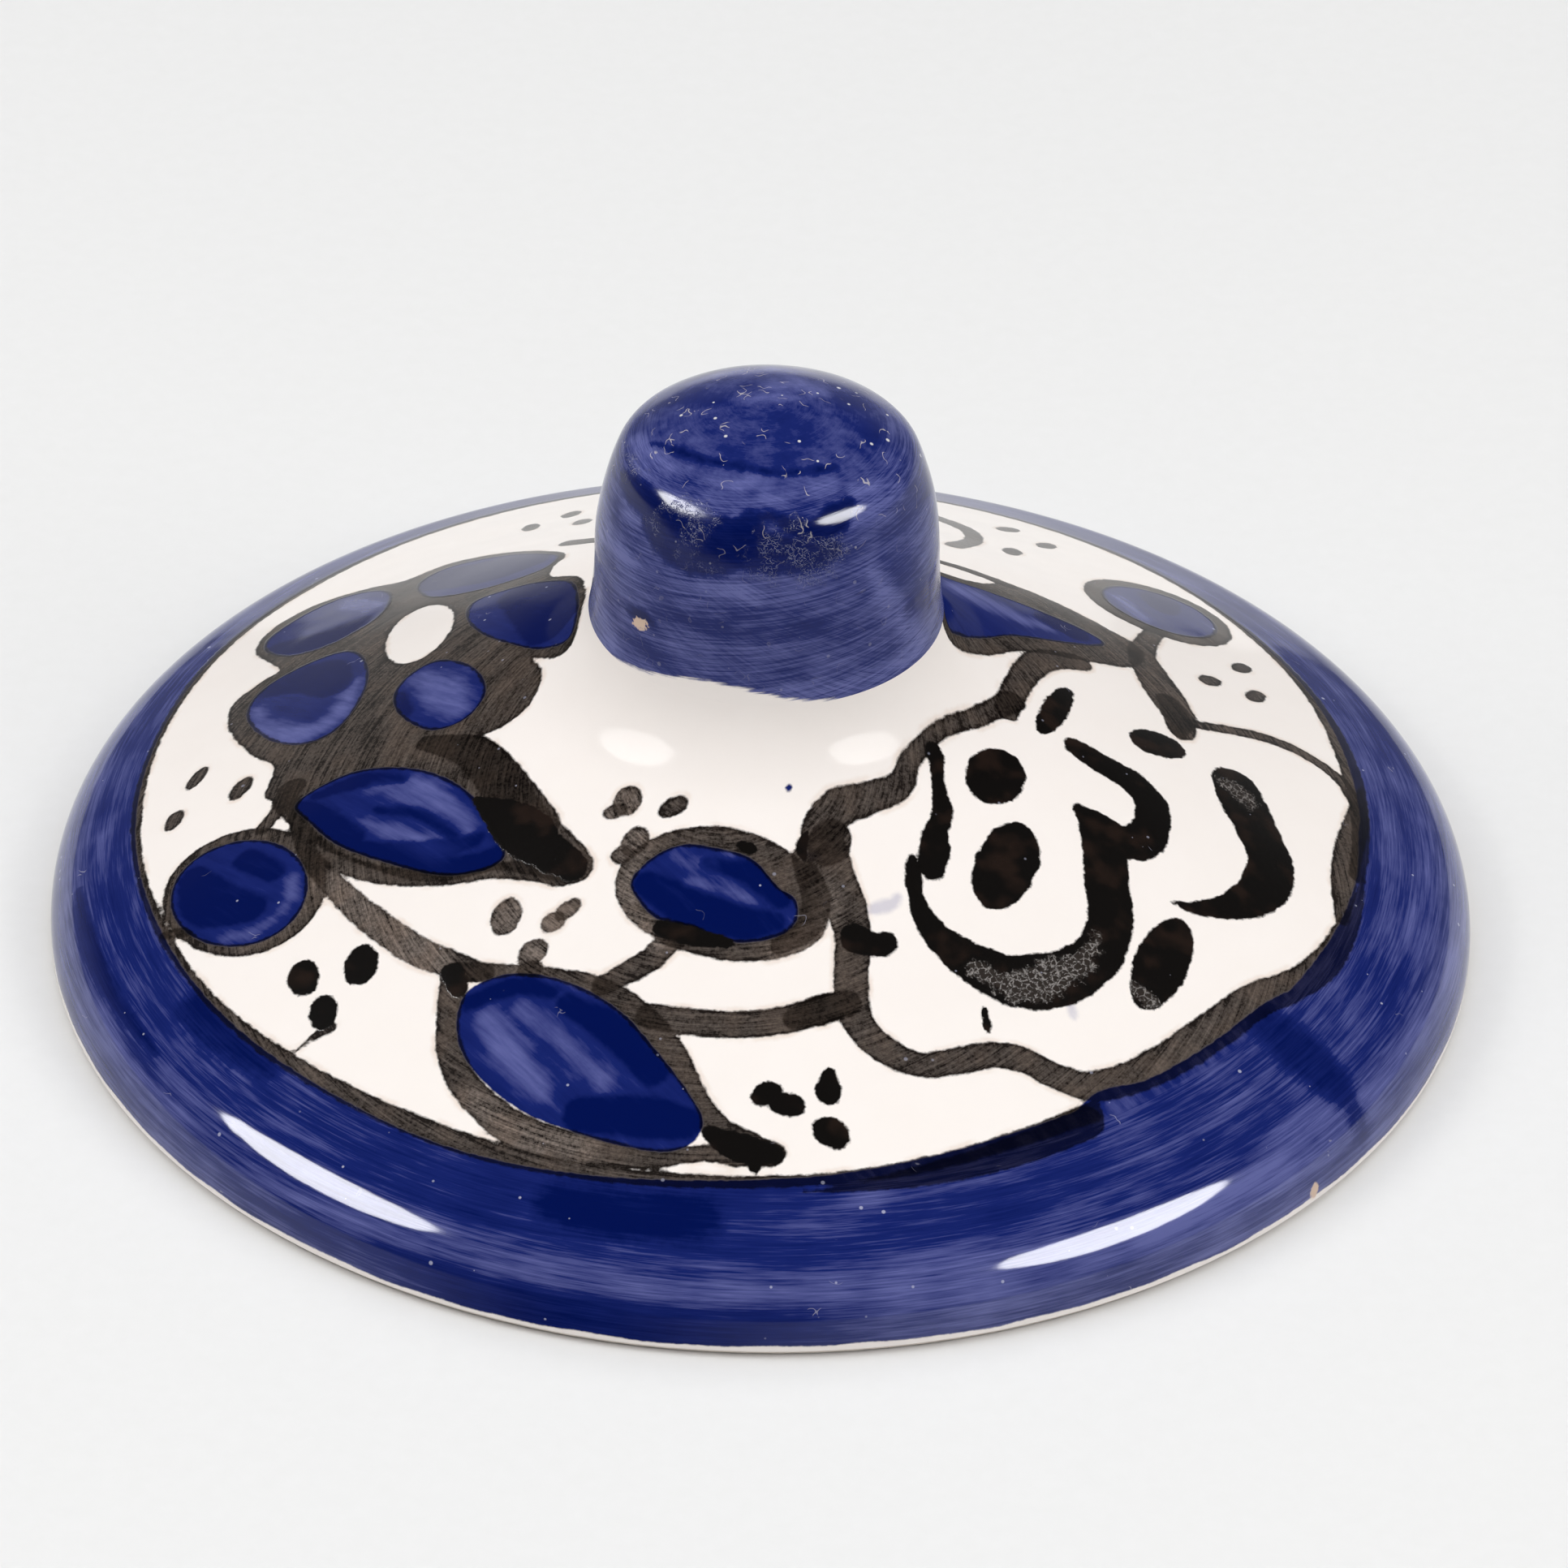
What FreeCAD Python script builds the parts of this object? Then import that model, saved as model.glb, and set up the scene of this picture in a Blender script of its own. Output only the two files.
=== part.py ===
import FreeCAD, Part
import math
import os
import Sketcher

# A hand-painted ceramic pot lid with a luted-on knob.
# Lengths in millimetres, angles in degrees.
# Z is the axis the lid was turned about, z = 0 is the plane that the foot ring stands on.
# X is to the right and -Y towards the viewer, as in the photograph.

doc = FreeCAD.newDocument("pot_lid")

# Sizes that can be set by themselves
SIZES = [
    ("rim_radius", "41.7", "widest radius of the clay, at the upright lip of the rim"),
    ("rim_round", "4.4", "radius of the bullnose that rolls the rim into the cone"),
    ("rim_centre_height", "0.9", "height of the bullnose centre, which is the top of the lip"),
    ("cone_angle", "25", "slope of the lid's broad cone"),
    ("neck_flare", "7.85", "radius of the hollow sweep from the cone up to the knob"),
    ("neck_slope", "75", "slope of the sweep where it meets the knob"),
    ("wall", "4.2", "thickness of the clay in the cone and round the hollow of the knob"),
    ("skirt_height", "1.8", "depth of the upright face inside the foot ring"),
    ("skirt_round", "1.0", "round where that face turns into the underside"),
    ("foot_round", "0.35", "round on both edges of the foot ring"),
    ("ceiling_radius", "8.0", "radius of the flat under the neck"),
    ("ceiling_round", "5.0", "round where that flat meets the underside cone"),
    ("vent_radius", "1.5", "radius of the firing vent from the hollow knob to the underside"),
    ("slip_thickness", "0.4", "thickness of the slip that the knob is luted on with"),
    ("knob_waist_radius", "9.64", "radius of the knob where its sides stand upright"),
    ("knob_foot_flare", "0.22", "how far the knob spreads from there to its foot"),
    ("knob_side_height", "3.8", "height of that place above the knob's foot"),
    ("belly_round", "16.3", "radius of the knob's sides above that place"),
    ("belly_angle", "21.9", "how far the sides lean in before the shoulder starts"),
    ("shoulder_round", "2.2", "radius of the knob's shoulder"),
    ("crown_round", "13.1", "radius of the knob's domed top"),
    ("glaze", "0.3", "thickness of the glaze"),
    ("dry_lip", "0.55", "height of the wiped lip that is left bare of glaze"),
]

# Sizes that follow from the ones above
FOLLOWING = [
    ("rim_centre_radius", "sizes.rim_radius - sizes.rim_round"),
    ("cone_low_radius", "rim_centre_radius + sizes.rim_round * sin(sizes.cone_angle)"),
    ("cone_low_height", "sizes.rim_centre_height + sizes.rim_round * cos(sizes.cone_angle)"),
    ("knob_foot_radius", "sizes.knob_waist_radius + sizes.knob_foot_flare"),
    ("flare_centre_radius", "knob_foot_radius + sizes.neck_flare * sin(sizes.neck_slope)"),
    ("flare_centre_height", "cone_low_height"
     " + (cone_low_radius - flare_centre_radius) * tan(sizes.cone_angle)"
     " + sizes.neck_flare / cos(sizes.cone_angle)"),
    ("cone_high_radius", "flare_centre_radius - sizes.neck_flare * sin(sizes.cone_angle)"),
    ("cone_high_height", "flare_centre_height - sizes.neck_flare * cos(sizes.cone_angle)"),
    ("seat_height", "flare_centre_height - sizes.neck_flare * cos(sizes.neck_slope)"),
    ("under_drop", "sizes.wall / cos(sizes.cone_angle)"),
    ("foot_inner_radius", "cone_low_radius"
     " - (sizes.skirt_height + under_drop - cone_low_height) / tan(sizes.cone_angle)"),
    ("ceiling_height", "cone_low_height"
     " + (cone_low_radius - sizes.ceiling_radius) * tan(sizes.cone_angle) - under_drop"),
    ("glaze_lip_radius", "sizes.rim_radius + sizes.glaze"),
    ("glaze_rim_round", "sizes.rim_round + sizes.glaze"),
    ("glaze_flare", "sizes.neck_flare - sizes.glaze"),
    ("glaze_cone_low_radius", "rim_centre_radius + glaze_rim_round * sin(sizes.cone_angle)"),
    ("glaze_cone_low_height",
     "sizes.rim_centre_height + glaze_rim_round * cos(sizes.cone_angle)"),
    ("glaze_cone_high_radius", "flare_centre_radius - glaze_flare * sin(sizes.cone_angle)"),
    ("glaze_cone_high_height", "flare_centre_height - glaze_flare * cos(sizes.cone_angle)"),
    ("glaze_neck_radius", "flare_centre_radius"
     " - sqrt(glaze_flare ^ 2 - (flare_centre_height - seat_height) ^ 2)"),
    ("under_glaze_radius", "foot_inner_radius - sizes.glaze"),
    ("under_glaze_height", "sizes.skirt_height + sizes.glaze * tan(sizes.cone_angle)"
     " - sizes.glaze / cos(sizes.cone_angle)"),
    ("under_glaze_ceiling_radius",
     "sizes.ceiling_radius - sizes.glaze * tan(sizes.cone_angle / 2)"),
    ("under_glaze_ceiling_height", "ceiling_height - sizes.glaze"),
    ("under_glaze_skirt_round", "sizes.skirt_round - sizes.glaze"),
    ("under_glaze_ceiling_round", "sizes.ceiling_round - sizes.glaze"),
    ("knob_foot_height", "seat_height + sizes.slip_thickness"),
    ("knob_side_round", "(sizes.knob_foot_flare ^ 2 + sizes.knob_side_height ^ 2)"
     " / (2 * sizes.knob_foot_flare)"),
    ("knob_side_centre_radius", "sizes.knob_waist_radius + knob_side_round"),
    ("belly_centre_radius", "sizes.knob_waist_radius - sizes.belly_round"),
    ("belly_edge_radius", "belly_centre_radius + sizes.belly_round * cos(sizes.belly_angle)"),
    ("belly_edge_height",
     "sizes.knob_side_height + sizes.belly_round * sin(sizes.belly_angle)"),
    ("shoulder_centre_radius", "belly_centre_radius"
     " + (sizes.belly_round - sizes.shoulder_round) * cos(sizes.belly_angle)"),
    ("shoulder_centre_height", "sizes.knob_side_height"
     " + (sizes.belly_round - sizes.shoulder_round) * sin(sizes.belly_angle)"),
    ("crown_less_shoulder", "sizes.crown_round - sizes.shoulder_round"),
    ("crown_centre_height", "shoulder_centre_height"
     " - sqrt(crown_less_shoulder ^ 2 - shoulder_centre_radius ^ 2)"),
    ("crown_edge_radius",
     "sizes.crown_round * shoulder_centre_radius / crown_less_shoulder"),
    ("crown_edge_height", "crown_centre_height"
     " + sizes.crown_round * (shoulder_centre_height - crown_centre_height)"
     " / crown_less_shoulder"),
    ("knob_height", "crown_centre_height + sizes.crown_round"),
    ("hollow_radius", "sizes.knob_waist_radius - sizes.wall"),
    ("hollow_height", "knob_height - sizes.wall"),
    ("hollow_side_height", "hollow_height - hollow_radius"),
    ("joint_depth", "-sizes.slip_thickness"),
    ("glaze_side_round", "knob_side_round - sizes.glaze"),
    ("glaze_knob_foot_radius", "knob_side_centre_radius"
     " - sqrt(glaze_side_round ^ 2 - (sizes.knob_side_height + sizes.slip_thickness) ^ 2)"),
    ("glaze_waist_radius", "sizes.knob_waist_radius + sizes.glaze"),
    ("glaze_belly_round", "sizes.belly_round + sizes.glaze"),
    ("glaze_belly_edge_radius",
     "belly_centre_radius + glaze_belly_round * cos(sizes.belly_angle)"),
    ("glaze_belly_edge_height",
     "sizes.knob_side_height + glaze_belly_round * sin(sizes.belly_angle)"),
    ("glaze_shoulder_round", "sizes.shoulder_round + sizes.glaze"),
    ("glaze_crown_round", "sizes.crown_round + sizes.glaze"),
    ("glaze_crown_edge_radius",
     "glaze_crown_round * shoulder_centre_radius / crown_less_shoulder"),
    ("glaze_crown_edge_height", "crown_centre_height"
     " + glaze_crown_round * (shoulder_centre_height - crown_centre_height)"
     " / crown_less_shoulder"),
    ("glaze_knob_height", "knob_height + sizes.glaze"),
]

sizes = doc.addObject("Spreadsheet::Sheet", "sizes")
for row, (alias, text, meaning) in enumerate(SIZES, start=1):
    sizes.set("A%d" % row, alias)
    sizes.set("B%d" % row, text)
    sizes.set("C%d" % row, meaning)
    sizes.setAlias("B%d" % row, alias)

following = doc.addObject("Spreadsheet::Sheet", "following")
for row, (alias, formula) in enumerate(FOLLOWING, start=1):
    following.set("A%d" % row, alias)
    following.setAlias("B%d" % row, alias)
    following.set("B%d" % row, "=" + formula)
doc.recompute()

SIZE_NAMES = [name for name, text, meaning in SIZES]


def cell(name):
    """The expression that reads a named size from whichever sheet holds it."""
    if name in SIZE_NAMES:
        return "sizes." + name
    return "following." + name


def value(name):
    """The number that a named size stands for now; zero stands for the axis or the foot plane."""
    if name == "zero":
        return 0.0
    sheet = sizes if name in SIZE_NAMES else following
    return float(getattr(sheet, name))


def new_body(label):
    """An empty body that carries the sub-part's name."""
    body = doc.addObject("PartDesign::Body", label)
    body.Label = label
    return body


def half_section(body, corners, arcs):
    """Draw a closed half section on the body's XZ plane.

    corners is a list of (radius name, height name). arcs maps the number of a side, counted
    from the corner it starts at, to (radius name, centre radius name, centre height name).
    Every other side is straight. Each corner and each arc radius is bound to its cell.
    """
    sketch = body.newObject("Sketcher::SketchObject", body.Name + "_section")
    plane = [item for item in body.Origin.OriginFeatures if item.Role == "XZ_Plane"][0]
    sketch.AttachmentSupport = [(plane, "")]
    sketch.MapMode = "FlatFace"

    points = [FreeCAD.Vector(value(r), value(z), 0) for r, z in corners]
    count = len(points)
    starts = []
    ends = []
    for side in range(count):
        first = points[side]
        last = points[(side + 1) % count]
        if side not in arcs:
            sketch.addGeometry(Part.LineSegment(first, last), False)
            starts.append(1)
            ends.append(2)
            continue
        radius_name, centre_r, centre_z = arcs[side]
        centre = FreeCAD.Vector(value(centre_r), value(centre_z), 0)
        circle = Part.Circle(centre, FreeCAD.Vector(0, 0, 1), value(radius_name))
        from_angle = math.atan2(first.y - centre.y, first.x - centre.x)
        to_angle = math.atan2(last.y - centre.y, last.x - centre.x)
        sweep = (to_angle - from_angle) % (2 * math.pi)
        if sweep < math.pi:
            sketch.addGeometry(Part.ArcOfCircle(circle, from_angle, from_angle + sweep), False)
            starts.append(1)
            ends.append(2)
        else:
            sweep = 2 * math.pi - sweep
            sketch.addGeometry(Part.ArcOfCircle(circle, to_angle, to_angle + sweep), False)
            starts.append(2)
            ends.append(1)

    for side in range(count):
        following_side = (side + 1) % count
        sketch.addConstraint(Sketcher.Constraint(
            "Coincident", side, ends[side], following_side, starts[following_side]))
    for side, (radius_name, height_name) in enumerate(corners):
        for axis, name in (("DistanceX", radius_name), ("DistanceY", height_name)):
            constraint = sketch.addConstraint(Sketcher.Constraint(
                axis, -1, 1, side, starts[side], value(name)))
            if name != "zero":
                sketch.setExpression("Constraints[%d]" % constraint, cell(name))
    for side, (radius_name, centre_r, centre_z) in arcs.items():
        constraint = sketch.addConstraint(Sketcher.Constraint("Radius", side, value(radius_name)))
        sketch.setExpression("Constraints[%d]" % constraint, cell(radius_name))
    return sketch


def turned(body, sketch):
    """Turn the half section once round the body's upright axis."""
    turn = body.newObject("PartDesign::Revolution", body.Name + "_turned")
    turn.Profile = sketch
    turn.ReferenceAxis = (sketch, ["V_Axis"])
    turn.Angle = 360.0
    doc.recompute()
    return turn


def rounded(body, base, name, radius_name, rings):
    """Round the circular edges that stand at the given (radius name, height name) rings."""
    wanted = [(value(r), value(z)) for r, z in rings]
    edges = []
    for number, edge in enumerate(base.Shape.Edges, start=1):
        if not isinstance(edge.Curve, Part.Circle):
            continue
        centre = edge.Curve.Center
        if math.hypot(centre.x, centre.y) > 0.001:
            continue
        for radius, height in wanted:
            if abs(edge.Curve.Radius - radius) < 0.001 and abs(centre.z - height) < 0.001:
                edges.append("Edge%d" % number)
    fillet = body.newObject("PartDesign::Fillet", name)
    fillet.Base = (base, edges)
    fillet.setExpression("Radius", cell(radius_name))
    doc.recompute()
    return fillet


RIM_ARC = ("rim_round", "rim_centre_radius", "rim_centre_height")
FLARE_ARC = ("neck_flare", "flare_centre_radius", "flare_centre_height")
GLAZE_RIM_ARC = ("glaze_rim_round", "rim_centre_radius", "rim_centre_height")
GLAZE_FLARE_ARC = ("glaze_flare", "flare_centre_radius", "flare_centre_height")
SIDE_ARC = ("knob_side_round", "knob_side_centre_radius", "knob_side_height")
BELLY_ARC = ("belly_round", "belly_centre_radius", "knob_side_height")
SHOULDER_ARC = ("shoulder_round", "shoulder_centre_radius", "shoulder_centre_height")
CROWN_ARC = ("crown_round", "zero", "crown_centre_height")
GLAZE_SIDE_ARC = ("glaze_side_round", "knob_side_centre_radius", "knob_side_height")
GLAZE_BELLY_ARC = ("glaze_belly_round", "belly_centre_radius", "knob_side_height")
GLAZE_SHOULDER_ARC = ("glaze_shoulder_round", "shoulder_centre_radius", "shoulder_centre_height")
GLAZE_CROWN_ARC = ("glaze_crown_round", "zero", "crown_centre_height")

# Fired clay shell: lip, bullnose, cone, swept neck with a flat seat, and the hollow underside
lid_shell = new_body("lid_shell")
shell_section = half_section(lid_shell, [
    ("rim_radius", "zero"),
    ("rim_radius", "rim_centre_height"),
    ("cone_low_radius", "cone_low_height"),
    ("cone_high_radius", "cone_high_height"),
    ("knob_foot_radius", "seat_height"),
    ("vent_radius", "seat_height"),
    ("vent_radius", "ceiling_height"),
    ("ceiling_radius", "ceiling_height"),
    ("foot_inner_radius", "skirt_height"),
    ("foot_inner_radius", "zero"),
], {1: RIM_ARC, 3: FLARE_ARC})
shell_turned = turned(lid_shell, shell_section)
shell_foot = rounded(lid_shell, shell_turned, "foot_edges", "foot_round",
                     [("rim_radius", "zero"), ("foot_inner_radius", "zero")])
shell_skirt = rounded(lid_shell, shell_foot, "skirt_corner", "skirt_round",
                      [("foot_inner_radius", "skirt_height")])
rounded(lid_shell, shell_skirt, "ceiling_corner", "ceiling_round",
        [("ceiling_radius", "ceiling_height")])

# Knob: spreading foot, sides that lean in, round shoulder, low dome, hollowed from below
knob = new_body("knob")
knob_section = half_section(knob, [
    ("hollow_radius", "zero"),
    ("knob_foot_radius", "zero"),
    ("knob_waist_radius", "knob_side_height"),
    ("belly_edge_radius", "belly_edge_height"),
    ("crown_edge_radius", "crown_edge_height"),
    ("zero", "knob_height"),
    ("zero", "hollow_height"),
    ("hollow_radius", "hollow_side_height"),
], {1: SIDE_ARC, 2: BELLY_ARC, 3: SHOULDER_ARC, 4: CROWN_ARC,
    6: ("hollow_radius", "zero", "hollow_side_height")})
turned(knob, knob_section)
knob.setExpression("Placement.Base.z", cell("knob_foot_height"))

# Ring of slip that the knob was luted to the neck with
luting_slip = new_body("luting_slip")
slip_section = half_section(luting_slip, [
    ("hollow_radius", "zero"),
    ("knob_foot_radius", "zero"),
    ("knob_foot_radius", "slip_thickness"),
    ("hollow_radius", "slip_thickness"),
], {})
turned(luting_slip, slip_section)
luting_slip.setExpression("Placement.Base.z", cell("seat_height"))

# Painted glaze over the lid, from the bare lip up to the joint with the knob
lid_glaze = new_body("lid_glaze")
lid_glaze_section = half_section(lid_glaze, [
    ("rim_radius", "dry_lip"),
    ("glaze_lip_radius", "dry_lip"),
    ("glaze_lip_radius", "rim_centre_height"),
    ("glaze_cone_low_radius", "glaze_cone_low_height"),
    ("glaze_cone_high_radius", "glaze_cone_high_height"),
    ("glaze_neck_radius", "seat_height"),
    ("knob_foot_radius", "seat_height"),
    ("cone_high_radius", "cone_high_height"),
    ("cone_low_radius", "cone_low_height"),
    ("rim_radius", "rim_centre_height"),
], {2: GLAZE_RIM_ARC, 4: GLAZE_FLARE_ARC, 6: FLARE_ARC, 8: RIM_ARC})
turned(lid_glaze, lid_glaze_section)

# Blue glaze over the knob, down across the edge of the slip to the lid's own glaze
knob_glaze = new_body("knob_glaze")
knob_glaze_section = half_section(knob_glaze, [
    ("knob_foot_radius", "joint_depth"),
    ("glaze_knob_foot_radius", "joint_depth"),
    ("glaze_waist_radius", "knob_side_height"),
    ("glaze_belly_edge_radius", "glaze_belly_edge_height"),
    ("glaze_crown_edge_radius", "glaze_crown_edge_height"),
    ("zero", "glaze_knob_height"),
    ("zero", "knob_height"),
    ("crown_edge_radius", "crown_edge_height"),
    ("belly_edge_radius", "belly_edge_height"),
    ("knob_waist_radius", "knob_side_height"),
    ("knob_foot_radius", "zero"),
], {1: GLAZE_SIDE_ARC, 2: GLAZE_BELLY_ARC, 3: GLAZE_SHOULDER_ARC, 4: GLAZE_CROWN_ARC,
    6: CROWN_ARC, 7: SHOULDER_ARC, 8: BELLY_ARC, 9: SIDE_ARC})
turned(knob_glaze, knob_glaze_section)
knob_glaze.setExpression("Placement.Base.z", cell("knob_foot_height"))

# Clear glaze inside the lid, from the bare foot ring to the vent
under_glaze = new_body("under_glaze")
under_section = half_section(under_glaze, [
    ("foot_inner_radius", "dry_lip"),
    ("foot_inner_radius", "skirt_height"),
    ("ceiling_radius", "ceiling_height"),
    ("vent_radius", "ceiling_height"),
    ("vent_radius", "under_glaze_ceiling_height"),
    ("under_glaze_ceiling_radius", "under_glaze_ceiling_height"),
    ("under_glaze_radius", "under_glaze_height"),
    ("under_glaze_radius", "dry_lip"),
], {})
under_turned = turned(under_glaze, under_section)
under_skirt_back = rounded(under_glaze, under_turned, "under_skirt_back", "skirt_round",
                           [("foot_inner_radius", "skirt_height")])
under_ceiling_back = rounded(under_glaze, under_skirt_back, "under_ceiling_back",
                             "ceiling_round", [("ceiling_radius", "ceiling_height")])
under_skirt_face = rounded(under_glaze, under_ceiling_back, "under_skirt_face",
                           "under_glaze_skirt_round",
                           [("under_glaze_radius", "under_glaze_height")])
rounded(under_glaze, under_skirt_face, "under_ceiling_face", "under_glaze_ceiling_round",
        [("under_glaze_ceiling_radius", "under_glaze_ceiling_height")])

doc.recompute()

# Every object has to be sound before anything is written
faults = []
for item in doc.Objects:
    if "Invalid" in item.State or "Error" in item.State:
        faults.append("%s is %s" % (item.Label, item.State))
sub_parts = [lid_shell, knob, luting_slip, lid_glaze, knob_glaze, under_glaze]
for body in sub_parts:
    shape = body.Shape
    if shape.isNull() or not shape.isValid() or len(shape.Solids) != 1:
        faults.append("%s has no sound single solid" % body.Label)
if faults:
    raise RuntimeError("; ".join(faults))

os.makedirs("parts", exist_ok=True)
for body in sub_parts:
    body.Shape.exportStep("parts/%s.step" % body.Label)
    box = body.Shape.optimalBoundingBox(False, False)
    print("%s %.1f mm3, z %.3f to %.3f, radius %.3f"
          % (body.Label, body.Shape.Volume, box.ZMin, box.ZMax, box.XMax))
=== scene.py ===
"""A small glazed pot lid with a domed knob, hand painted in cobalt blue and black."""

import math

import bpy
import numpy as np
from mathutils import Matrix, Vector


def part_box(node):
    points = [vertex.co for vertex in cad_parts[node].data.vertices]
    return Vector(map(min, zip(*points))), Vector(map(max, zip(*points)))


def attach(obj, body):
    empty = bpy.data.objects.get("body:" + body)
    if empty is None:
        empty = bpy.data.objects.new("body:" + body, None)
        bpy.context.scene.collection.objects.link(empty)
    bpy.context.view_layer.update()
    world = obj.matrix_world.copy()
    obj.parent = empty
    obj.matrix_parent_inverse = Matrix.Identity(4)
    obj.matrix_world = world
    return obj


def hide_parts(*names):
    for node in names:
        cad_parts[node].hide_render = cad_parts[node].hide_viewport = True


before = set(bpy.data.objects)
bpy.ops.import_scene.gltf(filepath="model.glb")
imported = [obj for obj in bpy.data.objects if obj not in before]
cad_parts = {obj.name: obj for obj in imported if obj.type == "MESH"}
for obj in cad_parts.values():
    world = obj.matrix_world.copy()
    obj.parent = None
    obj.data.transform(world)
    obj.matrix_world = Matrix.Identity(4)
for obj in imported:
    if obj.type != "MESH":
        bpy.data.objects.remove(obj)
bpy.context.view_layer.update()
lid_low, lid_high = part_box("lid_glaze")
knob_low, knob_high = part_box("knob_glaze")

bl_info = {
    "name": "Painted pot lid",
    "version": (1, 0, 0),
    "blender": (4, 5, 0),
    "location": "View3D > Sidebar > Pot lid",
    "description": "Builds a hand-painted ceramic pot lid with a domed knob",
    "category": "Object",
}

MM = 0.001

# Distances to paint stop counting here, in millimetres
FAR = 2.0

FLAT = (1.0, 1.0, 0.0)
UPRIGHT = (0.0, 0.0, 1.0)


def srgb(red, green, blue):
    """Linear colour of a colour given as it looks on screen, 0 to 255."""
    shown = np.array((red, green, blue)) / 255.0
    low = shown / 12.92
    high = ((shown + 0.055) / 1.055) ** 2.4
    return tuple(float(v) for v in np.where(shown <= 0.04045, low, high))


# Painted ornament, in millimetres seen from above: x to the right, y away from the viewer
# A stroke is a run of (x, y, width) and an oval is (x, y, length, width, turn in degrees)

# Blue band on the rim: middle and radius of its upper edge, and the gap in its black line in degrees
BAND_CENTRE = (-0.87, 0.82)
BAND_RADIUS = 36.05
BAND_LINE_GAP = (-56.5, -10.0)

# Slow waves in the band: pairs of a count of waves and a phase
LINE_WAVES = ((3, 2.0), (8, 0.3), (17, 5.0))
EDGE_WAVES = ((3, 0.4), (7, 1.9), (11, 4.0))
HEM_WAVES = ((4, 0.2), (9, 2.2), (17, 1.1), (31, 0.4), (53, 2.0))

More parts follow.
